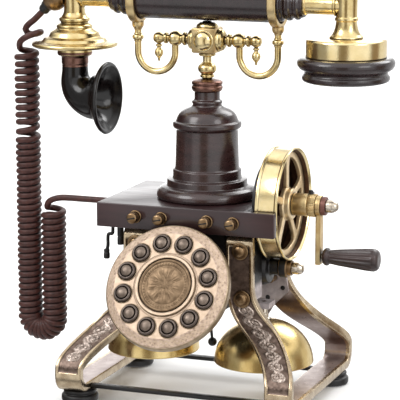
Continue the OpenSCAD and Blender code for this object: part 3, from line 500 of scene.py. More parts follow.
def add_cradle():
    arm_z = 252.9
    stem = [(0, 186), (3.5, 186), (3.5, 210.5), (5.6, 210.5), (5.6, 212.9), (3.5, 212.9), (3.5, 226.4),
            (4.9, 226.8), (4.9, 228.4), (4.2, 228.9)]
    stem += [(6.5 * math.cos(a), 232.8 + 4.8 * math.sin(a)) for a in np.linspace(-0.9, 0.9, 11)]
    stem += [(3, 237.6), (3, 241.2), (5.2, 241.6), (6, 242.5), (5.8, 243.6), (5, 244.1), (0, 244.1)]
    make("cradle_post", "cradle", [("brass", lathe(stem, 64, 0.2))], ["cradle_stem"])

    half = 8.8
    cap = [(0, 8), (7.4, 8), (7.6, 9.6), (6.8, 11), (5, 12.2), (3.2, 12.6), (2.6, 13.2), (0, 13.3)]
    dome = lathe([(0, 8.5), (7.6, 8.5), (7.7, 9.1), (7.2, 9.5), (6.7, 9.3), (6.5, 9.9), (6, 11), (4.8, 12.1),
                  (3.2, 12.8), (1.6, 13.1), (0, 13.2)], 72, 0.2)
    parts = [("satin", put(block((-half, -half, -half), (half, half, half), 1.4), at(0, 0, arm_z)))]
    for turn in (spun(90, "X"), spun(-90, "X")):
        parts.append(("bright", put(dome, at(0, 0, arm_z) @ turn)))
    parts.append(turned("brass", cap, at(0, 0, arm_z), 64))
    for flip in (Matrix(), FLIP_X):
        parts.append(turned("brass", ARM, flip @ at(0, 0, arm_z) @ TO_X, 64, 0.2))
        parts.append(turned("brass", DROP, flip @ at(36, 0, arm_z), 40, 0.15))
    make("cradle_crossbar", "cradle", parts, ["cradle_bar"])

    hook_x, hook_z, bend, wire = 37.8, 243.0, 14.0, 2.35
    fork_x, inner, outer = hook_x + bend, 13.7, 16.7
    low = GRIP_Z - outer
    path = [(hook_x - bend, 0, z) for z in (arm_z - 3, hook_z + 3)]
    path += [(hook_x + bend * math.cos(a), 0, hook_z + bend * math.sin(a)) for a in np.linspace(math.pi, TURN, 33)]
    path += [(fork_x, 0, z) for z in (hook_z + 3, low + 1)]
    ring = [(0, -3), (2.6, -3), (3, -2.4), (2.6, -1.9), (3.7, -1.3), (4, -0.6), (4, 0.6), (3.7, 1.3), (2.6, 1.9),
            (3, 2.4), (2.6, 3), (0, 3)]
    socket = [(0, -5), (2.5, -5), (2.9, -4), (3.9, -2.6), (4.2, -1), (4.2, 0.8), (0, 0.8)]
    fork = [(outer * math.cos(a), outer * math.sin(a)) for a in np.linspace(math.pi, TURN, 37)]
    fork += [(outer, 11.3), (outer - 1.5, 12.3), (inner, 11.3)]
    fork += [(inner * math.cos(a), inner * math.sin(a)) for a in np.linspace(TURN, math.pi, 37)]
    fork += [(-inner, 11.3), (-outer + 1.5, 12.3), (-outer, 11.3)]
    for side, flip in (("right", Matrix()), ("left", FLIP_X)):
        upright = flip @ at(fork_x - 3, 0, GRIP_Z) @ LAY_X
        parts = [("brass", put(tube(path, wire, 24), flip)),
                 turned("brass", ring, flip @ at(fork_x, 0, arm_z), 48, 0.15),
                 turned("satin", socket, flip @ at(fork_x, 0, low), 48, 0.2),
                 ("satin", put(slab(fork, 0, 6, 0.55, 3), upright))]
        make("cradle_hook_" + side, "cradle", parts, ["cradle_hooks"])


# ---- handset ----


def add_handset():
    axis = at(0, 0, GRIP_Z)
    grip = [(0, -54), (12.6, -54), (13.4, -52.6), (13.4, -46), (13.4, 0), (13.4, 46), (13.4, 52.6), (12.6, 54),
            (0, 54)]
    collar = [(0, 54), (12.4, 54), (12.7, 54.7), (12.2, 55.6), (10.7, 56.4), (10.4, 57.4), (10.7, 58.6),
              (11.4, 59.4), (11.5, 60.6), (11.2, 61.8), (10.1, 62.7), (9.8, 63.6), (10, 64.8), (10.7, 65.4),
              (10.8, 66.5), (10.5, 67.6), (9.5, 68.5), (9, 70), (8.6, 71), (0, 71)]
    pipe = [(0, 70.5), (7.3, 70.5), (7.5, 71.4), (7.3, 72.3), (6.5, 72.8), (6.5, 92), (7.3, 92.6), (7.3, 94), (0, 94)]
    sides = (Matrix(), FLIP_X)
    make("grip", "handset", [turned("plum", grip, axis @ TO_X, 96, 0.5)], ["handset_grip"])
    make("grip_collars", "handset",
         [turned("plum", collar, f @ axis @ TO_X, 96, 0.3) for f in sides], ["handset_collars"])
    make("handset_pipes", "handset",
         [turned("brass", pipe, f @ axis @ TO_X, 72) for f in sides], ["handset_tubes"])

    top = [(7.4, 286), (7.4, 287.6), (8.3, 288.3), (8.3, 289.9), (7.6, 290.7), (5.5, 291.5), (2, 292.2), (0, 292.4)]
    foot = [(0, 257.7), (11.3, 257.7), (11.6, 258.2), (11.3, 259), (9.8, 260.3), (8.6, 262.4), (7.8, 264.8),
            (7.3, 267.6), (7.2, 269.4), (8, 269.9), (8, 271.6), (7.2, 272.2), (7.3, 273.2)]
    pipe_end = put(lathe([(0, 93), (6.5, 93), (6.5, 101), (0, 101)], 72), axis @ TO_X)
    ear = at(STEM_X, 0, 0)
    make("receiver_post", "handset",
         [turned("brass", foot + top, ear, 96), ("brass", pipe_end)], ["receiver_stem"])
    drum = [(0, 245), (27.5, 245), (27.7, 245.6), (27.7, 256), (27.2, 257.1), (26, 257.6), (13, 257.9), (0, 257.9)]
    make("receiver_drum", "handset", [turned("bright", drum, ear, 144, 0.3)], ["receiver_cap"])
    shell = [(22, 228.2), (24.6, 228), (27.6, 228.1), (29.5, 229), (30.2, 230.3), (30, 232), (29.1, 233.1),
             (28.6, 233.9), (28.8, 234.9), (30.3, 236), (32.3, 237.6), (33.4, 239.6), (33.6, 241.6), (32.9, 243.3),
             (31.4, 244.5), (29.6, 245), (0, 245), (0, 231.6), (12, 232.2), (19.5, 231.6), (21.6, 230)]
    make("ear_cup", "handset", [turned("plum", shell, ear, 144, 0.4)], ["receiver_shell"])
    # The sound holes are small gloss-black discs on the face: painted shade where the holes would be.
    holes = [put(lathe([(0, 231.2), (1.1, 231.2), (1.2, 231.5), (0.9, 231.9), (0, 231.9)], 16, 0.05),
                 ear @ at(r * math.cos(TURN * k / n), r * math.sin(TURN * k / n), 0))
             for r, n in ((0, 1), (5, 6), (10, 12)) for k in range(n)]
    make("ear_cup_holes", "handset", [("gloss", h) for h in holes])

    mouth = at(-STEM_X, 0, 0)
    body = [(12.3, 238.6), (12.3, 244.2), (20, 244.1), (29, 244.2), (30.3, 244.9), (30.7, 246), (30.2, 247.1),
            (27, 247.7), (23.6, 248.2), (22.8, 249), (21.9, 250.2), (20, 251), (18.4, 251.7), (17.8, 253),
            (17, 254.6), (15.3, 255.7), (13.5, 256.7), (12.5, 257.5), (12.9, 258.4), (12.6, 259.6), (10.9, 260.6),
            (9.7, 261.2), (9.9, 262), (10.9, 262.7), (11, 263.6), (10.8, 264.6), (9.2, 265.5), (8.3, 266.8),
            (7.6, 268.6), (7.3, 272)]
    collar = [(0, 229.5), (9, 229.5), (9.3, 230.4), (9.1, 231.6), (9.6, 232.4), (9.6, 236.6), (10.2, 237.6),
              (12, 238.2), (12.5, 239.4), (12.5, 240.6), (11.8, 241.2), (12.3, 241.9), (12.3, 244.4), (0, 244.4)]
    make("transmitter_body", "handset",
         [turned("brass", [(0, 238.6)] + body + top, mouth, 128), turned("copper", collar, mouth, 96),
          ("brass", put(pipe_end, FLIP_X))], ["transmitter_stem"])

    bend, low = 15.0, 208.3
    centre = (bend - STEM_X, low + bend)
    route = [(-STEM_X, 230.5, 9.2, 0), (-STEM_X, 227.5, 9.3, 0), (-STEM_X, 225, 9.6, 0)]
    route += [(centre[0] + bend * math.cos(a), centre[1] + bend * math.sin(a), r, a - math.pi)
              for a, r in zip(np.linspace(math.pi, 1.5 * math.pi, 22), np.linspace(9.8, 16.2, 22))]
    route += [(x, low, r, math.pi / 2) for x, r in (
        (-83.6, 16.8), (-81.8, 17.7), (-80.4, 19.3), (-79.4, 21.1), (-78.4, 23), (-77.4, 24.6), (-76.5, 25.5),
        (-75.6, 25.8), (-74.8, 25.5), (-74.3, 24.8), (-74.15, 24), (-74.3, 23.2), (-74.9, 22.4), (-76, 21),
        (-77.2, 19), (-78.8, 16.6), (-81.2, 14.2), (-84.2, 12.2), (-88, 10), (-92, 7.4), (-92.6, 3), (-92.6, 0.2))]
    centres = [np.array((x, 0, z)) for x, z, r, a in route]
    ways = [(np.array((0.0, 1, 0)), np.array((-math.cos(a), 0, -math.sin(a)))) for x, z, r, a in route]
    make("horn", "handset", [("gloss", rings(centres, ways, [r for x, z, r, a in route], 96))],
         ["transmitter_horn"])

    knob = [(0, 107), (6.4, 107), (6.4, 108.4), (8.4, 109.6), (10.1, 112), (10.8, 115.5), (10.1, 119), (8.4, 121.3),
            (5.4, 122.4), (0, 122.8)]
    outlet = [(0, 4), (4.4, 4), (4.4, 10.4), (3.9, 11), (3.9, 13.4), (3.3, 14.8), (2.2, 15), (0, 15)]
    point = at(-115.5, 0, GRIP_Z) @ spun(180 + math.degrees(math.atan2(0.65, 0.76)), "Y")
    make("cord_outlet", "handset",
         [turned("bronze", knob, FLIP_X @ axis @ TO_X, 72, 0.4), turned("rubber", outlet, point, 40)],
         ["cord_knob"])


# ---- embossing ----


def rinceau(length, units, half):
    """Lines of a running scroll along a strip, as (points, line width)."""
    unit_length = length / units
    lines = []
    s = np.linspace(0, length, 60 * units)
    lines.append((np.stack([s, 0.62 * half * np.sin(math.pi * s / unit_length)], 1), 0.085 * half))
    for k in range(units):
        way = 1 if k % 2 == 0 else -1
        centre = np.array([(k + 0.5) * unit_length, -0.22 * way * half])
        size = min(0.44 * unit_length, 0.62 * half)
        a = np.linspace(0, 1.75 * TURN, 110)
        r = size * (1 - 0.82 * a / a[-1])
        lines.append((centre + np.stack([-r * np.cos(a), way * r * np.sin(a)], 1), 0.075 * half))
        for m in range(7):
            b = math.pi * (0.06 + 0.147 * m)
            root = centre + 1.04 * size * np.array([-math.cos(b), way * math.sin(b)])
            lean = np.array([-math.cos(b - 0.5), way * math.sin(b - 0.5)])
            lines.append((root + np.outer(np.linspace(0, 0.3 * size, 8), lean), 0.1 * half))
        for m in range(5):
            b = TURN * m / 5
            lines.append((centre + np.outer([0.06 * size, 0.13 * size], [math.cos(b), math.sin(b)]), 0.06 * half))
    return lines


def embossed(points, lines):
    """Height from 0 to 1 at each point: high on a line, falling off to its sides."""
    height = np.zeros(len(points))
    for line, width in lines:
        box = np.all((points > line.min(0) - 3 * width) & (points < line.max(0) + 3 * width), 1)
        near = points[box]
        if len(near):
            gap = np.sqrt(((near[:, None, :] - line[None]) ** 2).sum(2).min(1))
            height[box] = np.maximum(height[box], np.exp(-(gap / width) ** 2))
    return height


# ---- side loops ----

STRAP_HALF, STRAP_T = 9.75, 6.0


def ease(z, top, low, warp):
    t = np.clip((top - z) / (top - low), 0, 1) ** warp
    return t * t * (3 - 2 * t)


def leg_x(z):
    return 38 + 39 * ease(z, 92, 26, 1.3)


def leg_y(z):
    return 37 + 32 * ease(z, 68, 25, 1.35)


def strap_half(z):
    slope = (leg_x(z - 1) - leg_x(z + 1)) / np.hypot(leg_y(z - 1) - leg_y(z + 1), 2)
    return STRAP_HALF * np.sqrt(1 + slope ** 2)


def loop_route():
    """The front half of the loop in (y, z), from under the deck to the floor."""
    route = [(y, 122.0) for y in np.linspace(0, -30, 6)]
    route += [(-32 + 5 * math.cos(a), 117 + 5 * math.sin(a)) for a in np.linspace(math.pi / 2, math.pi, 9)]
    z = 116.6
    while z > 21.8:
        route.append((-leg_y(z), z))
        z -= 0.5 / math.hypot(1, float(leg_y(z - 0.5) - leg_y(z + 0.5)))
    route += [(-60 + 9 * math.cos(a), 21.5 + 9 * math.sin(a)) for a in np.linspace(math.pi, 1.5 * math.pi, 17)]
    return np.array(route + [(y, 12.5) for y in np.linspace(-56, 0, 9)])


def add_loops():
    front = loop_route()
    back = front[-2:0:-1] * np.array([-1, 1])
    route = np.vstack([front, back])
    n = len(route)
    ahead, behind = np.roll(route, -1, 0), np.roll(route, 1, 0)
    along = (ahead - behind) / np.linalg.norm(ahead - behind, axis=1)[:, None]
    outward = np.stack([along[:, 1], -along[:, 0]], 1)
    if (outward[len(front) // 2] * route[len(front) // 2]).sum() < 0:
        outward = -outward
    z = route[:, 1]
    upright = (np.abs(along[:, 1]) > 0.3) & (z > 24.2) & (z < 117)
    panel = upright * np.clip((z - 24.2) / 0.8, 0, 1) * np.clip((117.5 - z) / 1.5, 0, 1)
    travel = np.concatenate([[0], np.cumsum(np.linalg.norm(np.diff(route, axis=0), axis=1))])
    columns = np.linspace(-1, 1, 47)
    border = 2.1
    half = strap_half(z)
    flat = half - 0.9
    u = columns[None] * flat[:, None]
    recess = np.clip((half[:, None] - border - np.abs(u)) / 0.8, 0, 1)
    recess = recess * recess * (3 - 2 * recess) * panel[:, None]
    height = -0.95 * recess
    raised = np.zeros_like(height)
    for in_front in (True, False):
        rows = [i for i in range(n) if 30 < z[i] < 77 and (i < len(front)) == in_front]
        s = travel[rows] - travel[rows].min()
        if not in_front:
            s = s.max() - s
        grid = np.stack([np.repeat(s, len(columns)), (u[rows] / flat[rows][:, None] * (STRAP_HALF - 0.9)).ravel()], 1)
        relief = embossed(grid, rinceau(float(s.max()), 7, 7.2)).reshape(len(rows), -1)
        fade = np.clip(s / 2, 0, 1) * np.clip((s.max() - s) / 2, 0, 1)
        raised[rows] = relief * recess[rows] * fade[:, None]
    height += 0.9 * raised
    beads = np.exp(-((z[:, None] - 27.2) / 0.75) ** 2) * np.exp(-(((u / 2.9 + 0.5) % 1 - 0.5) * 2.9 / 0.8) ** 2)
    height += 0.8 * beads * recess
    rounds = [(0.9, 0.0), (0.45, -0.12), (0.12, -0.45), (0, -0.9), (0, -3), (0, -5.1), (0.12, -5.55), (0.45, -5.88),
              (0.9, -6)]
    inner = np.linspace(1, -1, 9)[1:-1]
    section = len(columns) + 2 * (len(rounds) - 1) + len(inner)
    points = np.zeros((n, section, 3))
    for i in range(n):
        us = list(u[i]) + [half[i] - a for a, b in rounds[1:]] + list(inner * flat[i])
        us += [a - half[i] for a, b in rounds[:0:-1]]
        hs = list(height[i]) + [b for a, b in rounds[1:]] + [-6] * len(inner) + [b for a, b in rounds[:0:-1]]
        hs = np.array(hs) + STRAP_T / 2
        points[i, :, 0] = leg_x(z[i]) + np.array(us)
        points[i, :, 1:] = route[i] + np.outer(hs, outward[i])
    faces = {"field": [], "scroll": [], "border": [], "lining": []}
    for i in range(n):
        k = (i + 1) % n
        for j in range(section):
            m = (j + 1) % section
            on_face = j < len(columns) - 1
            if on_face and panel[i] > 0.5 and min(recess[i, j], recess[i, m]) > 0.3:
                kind = "scroll" if max(raised[i, j], raised[i, m], raised[k, j], raised[k, m]) > 0.34 else "field"
            elif len(columns) + 7 < j < len(columns) + 7 + len(inner) + 1:
                kind = "lining"
            else:
                kind = "border"
            faces[kind].append((i * section + j, i * section + m, k * section + m, k * section + j))
    flat_points = points.reshape(-1, 3)
    for side, flip in (("right", Matrix()), ("left", FLIP_X)):
        parts = [(kind, put((flat_points, fcs), flip)) for kind, fcs in faces.items()]
        piece = make("strap_" + side, "base", parts, ["side_loop_" + side], 50)
        bm = bmesh.new()
        bm.from_mesh(piece.data)
        bmesh.ops.remove_doubles(bm, verts=bm.verts, dist=1e-6)
        loose = [v for v in bm.verts if not v.link_faces]
        bmesh.ops.delete(bm, geom=loose, context="VERTS")
        bmesh.ops.recalc_face_normals(bm, faces=bm.faces)
        bm.to_mesh(piece.data)
        bm.free()


# ---- frame fittings ----


def add_fittings():
    screw = [(0, 0), (6, 0), (6.2, 0.5), (6, 1.1), (5, 1.4), (4.3, 1.3), (4.1, 1.8), (3.5, 2.9), (2.3, 3.6),
             (1, 3.9), (0, 4)]
    parts = []
    for flip in (Matrix(), FLIP_X, FLIP_Y, FLIP_X @ FLIP_Y):
        for x, z in ((40, 80), (38.5, 113.5)):
            place = flip @ at(x, 39.1, z) @ spun(-90, "X")
            parts.append(turned("bronze", screw, place, 48, 0.2))
            parts.append(turned("bronze", [(0, -17), (2, -17), (2, 0.5), (0, 0.5)], place, 24))
    make("strap_screws", "base", parts, ["leg_screws"])

    tip = [(0, 0), (1.5, 0), (1.7, 0.3), (1.4, 0.7), (0, 0.8)]
    parts = [turned("black", tip, flip @ at(x, 31.6, z) @ spun(90, "X"), 24, 0.1)
             for flip in (Matrix(), FLIP_X) for x, z in ((46.1, 72.8), (34.8, 65.1))]
    make("strap_rivets", "base", parts)

    foot = [(0, 0), (11.4, 0), (12.4, 0.5), (13, 1.6), (13, 4.4), (12.4, 5.4), (11.2, 5.9), (11, 6.5), (11.6, 7.1),
            (11.7, 8.4), (11, 9.2), (10, 9.5), (0, 9.5)]
    make("foot_pads", "base",
         [turned("rubber", foot, at(sx * 76.3, sy * 52.2, 0), 72, 0.3) for sx in (1, -1) for sy in (1, -1)],
         ["feet"])
    bar = block((-67.25, -3, -1.5), (67.25, 3, 1.5), 1.1)
    make("floor_bars", "base", [("black", put(bar, at(0, y, 11.8))) for y in (-52.2, 43.4)],
         ["cross_bars"])

    knob = [(0, 0.8), (3, 0.8), (3, 2), (3.6, 2.3), (3.8, 3), (3.8, 7), (3.5, 7.8), (2.6, 8.3), (0, 8.6)]
    disc = [(0, 0), (4.3, 0), (4.6, 0.3), (4.5, 0.9), (4.1, 1.2), (0, 1.2)]
    shank = [(0, -8), (2, -8), (2, 1), (0, 1)]
    hanger = spline([(-57, -36, 125), (-57, -36, 121), (-57.4, -36, 118.4), (-60.2, -36, 117.8), (-60.8, -36, 115),
                     (-60.8, -36, 110), (-61.6, -36, 106)], 0.5)
    weight = [(0, 100.2), (1.7, 100.2), (2.2, 100.9), (2.2, 104), (1.8, 104.6), (2.1, 105.2), (2, 106.6),
              (1.2, 107.2), (0, 107.3)]
    block_post = [(0, 110.9), (1.9, 110.9), (2.3, 111.5), (2.3, 116), (1.9, 116.6), (2.3, 117.2), (2.3, 124.4),
                  (2.1, 125), (0, 125)]
    parts = []
    milling = lambda a, h: 1 - 0.025 * (1 + math.cos(24 * a)) * (2.4 < h < 7.5)
    for x in (-35.7, -16.7, 16.7, 35.7):
        place = at(x, -46, 133.8) @ spun(90, "X")
        parts.append(turned("bronze", knob, place, 72, 0.2, milling))
        parts.append(turned("bronze", disc, place, 48, 0.15))
        parts.append(turned("bronze", shank, place, 24))
        # The knob's slot is a thin black block on its dome: painted shade where the slot would be.
        parts.append(("black", put(block((-2.9, -0.45, 8.25), (2.9, 0.45, 8.62), 0.1), place @ spun(12, "Z"))))
    parts += [("black", tube(hanger, 1.2, 16)), turned("black", weight, at(-61.8, -36, 0), 32, 0.2),
              turned("black", block_post, at(-51.2, -36, 0), 32, 0.2)]
    make("deck_terminals", "base", parts, ["terminals"])

    gland = [(0, 56), (3, 56), (3, 65), (5.8, 65), (6, 65.4), (6, 66.2), (4.6, 66.8), (4.2, 67.4), (4.4, 68.2),
             (3.9, 68.8), (4.1, 69.6), (3.6, 70.2), (3.8, 71), (3.3, 71.6), (3.2, 73), (0, 73)]
    make("cord_gland", "base",
         [turned("plastic", gland, FLIP_X @ at(0, 0, CORD_Z) @ TO_X, 48, 0.15)], ["deck_gland"])


def add_bells():
    wall, crown = 2.0, 57.2
    post = [(0, 48), (2, 48), (2, crown), (4.6, crown), (4.9, crown + 0.4), (4.4, crown + 1.2), (3.4, crown + 1.6),
            (3.4, crown + 4.4), (2.7, crown + 4.8), (2.7, 66), (2, 66), (2, 70), (0, 70)]
    nut = [(4 * math.cos(a), 4 * math.sin(a)) for a in np.arange(6) * TURN / 6]
    angles = np.linspace(0.03, math.radians(84), 36)
    parts = []
    for side, x, radius, rim in (("left", -41, 33.0, 28.5), ("right", 42.6, 35.2, 26.7)):
        tall = crown - rim
        outer = [(radius * math.cos(a) ** 0.96, rim + tall * math.sin(a)) for a in angles]
        inner = [((radius - wall) * math.cos(a) ** 0.96, rim + (tall - wall) * math.sin(a)) for a in angles[::-1]]
        lip = [(radius - 0.5, rim), (radius - 0.1, rim + 0.3), (radius + 0.1, rim + 0.8)]
        outline = lip + outer[1:] + [(2.1, crown), (2.1, crown - wall)] + inner + [(radius - wall, rim)]
        make("gong_" + side, "base", [turned("bell", outline, at(x, 0, 0), 144, 0.15)],
             ["bell_" + side], 60)
        parts.append(turned("steel", post, at(x, 0, 0), 48, 0.2))
        parts.append(("steel", put(slab(nut, crown - 5.4, crown - 2.2, 0.35), at(x, 0, 0))))
    make("gong_posts", "base", parts, ["bell_posts"])


# ---- dial ----

DIAL = at(0, -80.6, 95.3) @ spun(90 - 29.5, "X")


def disc_relief(r0, r1, steps, seg, height):
    """A ring of surface in the dial's plane whose height comes from (radius, angle)."""
    radii, angles = np.linspace(r0, r1, steps), np.arange(seg) * TURN / seg
    rr, aa = np.meshgrid(radii, angles, indexing="ij")
    points = np.stack([rr * np.cos(aa), rr * np.sin(aa), height(rr, aa)], 2).reshape(-1, 3)
    faces = [(i * seg + j, i * seg + (j + 1) % seg, (i + 1) * seg + (j + 1) % seg, (i + 1) * seg + j)
             for i in range(steps - 1) for j in range(seg)]
    return points, faces


def band_height(rr, aa):
    """The engraved border, which falls away towards the rim."""
    fall = -2.6 * np.clip((rr - 37.2) / 5.6, 0, 1)
    leaves = np.cos(64 * aa) * np.cos(math.pi * (rr - 40) / 1.35)
    sprigs = np.cos(160 * aa + 2.2 * rr) * np.cos(5.1 * rr)
    edges = np.exp(-((rr - 37.9) / 0.2) ** 2) + np.exp(-((rr - 42.2) / 0.2) ** 2)
    fade = np.clip((rr - 38) / 0.3, 0, 1) * np.clip((42.1 - rr) / 0.3, 0, 1)
    return fall + 0.06 + (0.13 * leaves + 0.09 * sprigs - 0.1) * fade + 0.14 * edges


def rosette_height(rr, aa):
    """Two rings of petals round a boss, in a ring of beads."""
    t = np.clip(rr / 12.5, 0, 1)
    outer = np.abs(np.cos(4 * aa)) ** 0.6 * np.sin(math.pi * np.clip((rr - 3.5) / 9.5, 0, 1)) ** 0.7
    inner = np.abs(np.sin(4 * aa)) ** 0.6 * np.sin(math.pi * np.clip((rr - 1.5) / 6.5, 0, 1)) ** 0.7
    boss = np.clip(1 - (rr / 2.3) ** 2, 0, 1) ** 0.5
    beads = np.exp(-((rr - 15) / 0.55) ** 2) * (0.5 + 0.5 * np.cos(48 * aa))
    veins = 0.08 * np.cos(32 * aa) * np.clip(t * (1 - t) * 4, 0, 1)
    groove = -0.25 * np.exp(-((rr - 13.6) / 0.35) ** 2)
    return 1.0 + 0.75 * np.maximum(outer, 0.8 * inner) + 0.8 * boss + 0.5 * beads + veins + groove


def add_dial():
    housing = [(0, -14), (34, -14), (36, -13.8), (40, -12.6), (41.6, -11.6), (42.7, -10.2), (43.2, -8.6), (43.1, -8),
               (39.5, -8), (39.5, -11.5), (0, -11.5)]
    make("dial_back", "base", [turned("bronze", housing, DIAL, 160, 0.4)], ["dial_housing"])

    rim = [(42.5, -2.7), (42.9, -2.4), (43.5, -2.8), (44, -3.7), (44.15, -4.7), (44.15, -7.2), (43.6, -8.1),
           (42.4, -8)]
    ridge = [(18.9, -0.4), (19.1, 1.2), (19.6, 1.7), (20, 1.4), (20.3, 1.1), (20.7, 1.4), (21.1, 1.7), (21.5, 1.2),
             (21.8, 0.02), (21.8, -0.4)]
    fine = [(22.6, -0.2), (22.7, 0.3), (23, 0.35), (23.2, -0.2)]
    parts = [turned("gilt", rim, DIAL, 200, 0.2), turned("gilt", ridge, DIAL, 160, 0.15),
             turned("cream", fine, DIAL, 160, 0.05),
             ("band", put(disc_relief(37.1, 42.75, 30, 960, band_height), DIAL))]
    make("dial_rings", "base", parts)
    collar = [(6.45, -1.2), (6.45, 0.35), (6.75, 0.5), (7.05, 0.3), (7.1, -0.2)]
    angles = [math.radians(105 - 30 * n) for n in range(12)]
    places = [DIAL @ at(30.4 * math.cos(a), 30.4 * math.sin(a), 0) for a in angles]
    make("key_collars", "base", [turned("gilt", collar, place, 48, 0.1) for place in places])

    edge = [(16.4, 0.6), (16.4, 1.2), (16.9, 1.7), (17.6, 1.9), (18.3, 1.6), (18.6, 1), (18.6, 0), (15, 0)]
    parts = [("medal", put(disc_relief(0.02, 16.5, 46, 288, rosette_height), DIAL)),
             turned("medal", edge, DIAL, 144, 0.15)]
    make("rosette", "base", parts, ["dial_medallion"], 70)

    body = [(0, -5.8), (2.2, -5.8), (2.2, -4.2), (7.3, -4.2), (7.3, -2.5), (6.2, -2.5), (6.2, 1.3), (5.9, 2),
            (5.3, 2.3), (4.7, 2.2), (4.35, 1.7), (4.25, 1.2), (3.9, 1.1), (0, 1.1)]
    dome = [(0, 1), (3.95, 1), (3.95, 2.1), (3.75, 2.7), (3.2, 3.2), (2.2, 3.7), (1.1, 3.95), (0, 4)]
    for n, place in enumerate(places):
        key = "key_%02d" % (n + 1)
        make(key + "_cap", key,
             [turned("key", body, place, 56, 0.25), turned("dome", dome, place, 56, 0.3)], [key])


# ---- wheel, crank and magneto ----


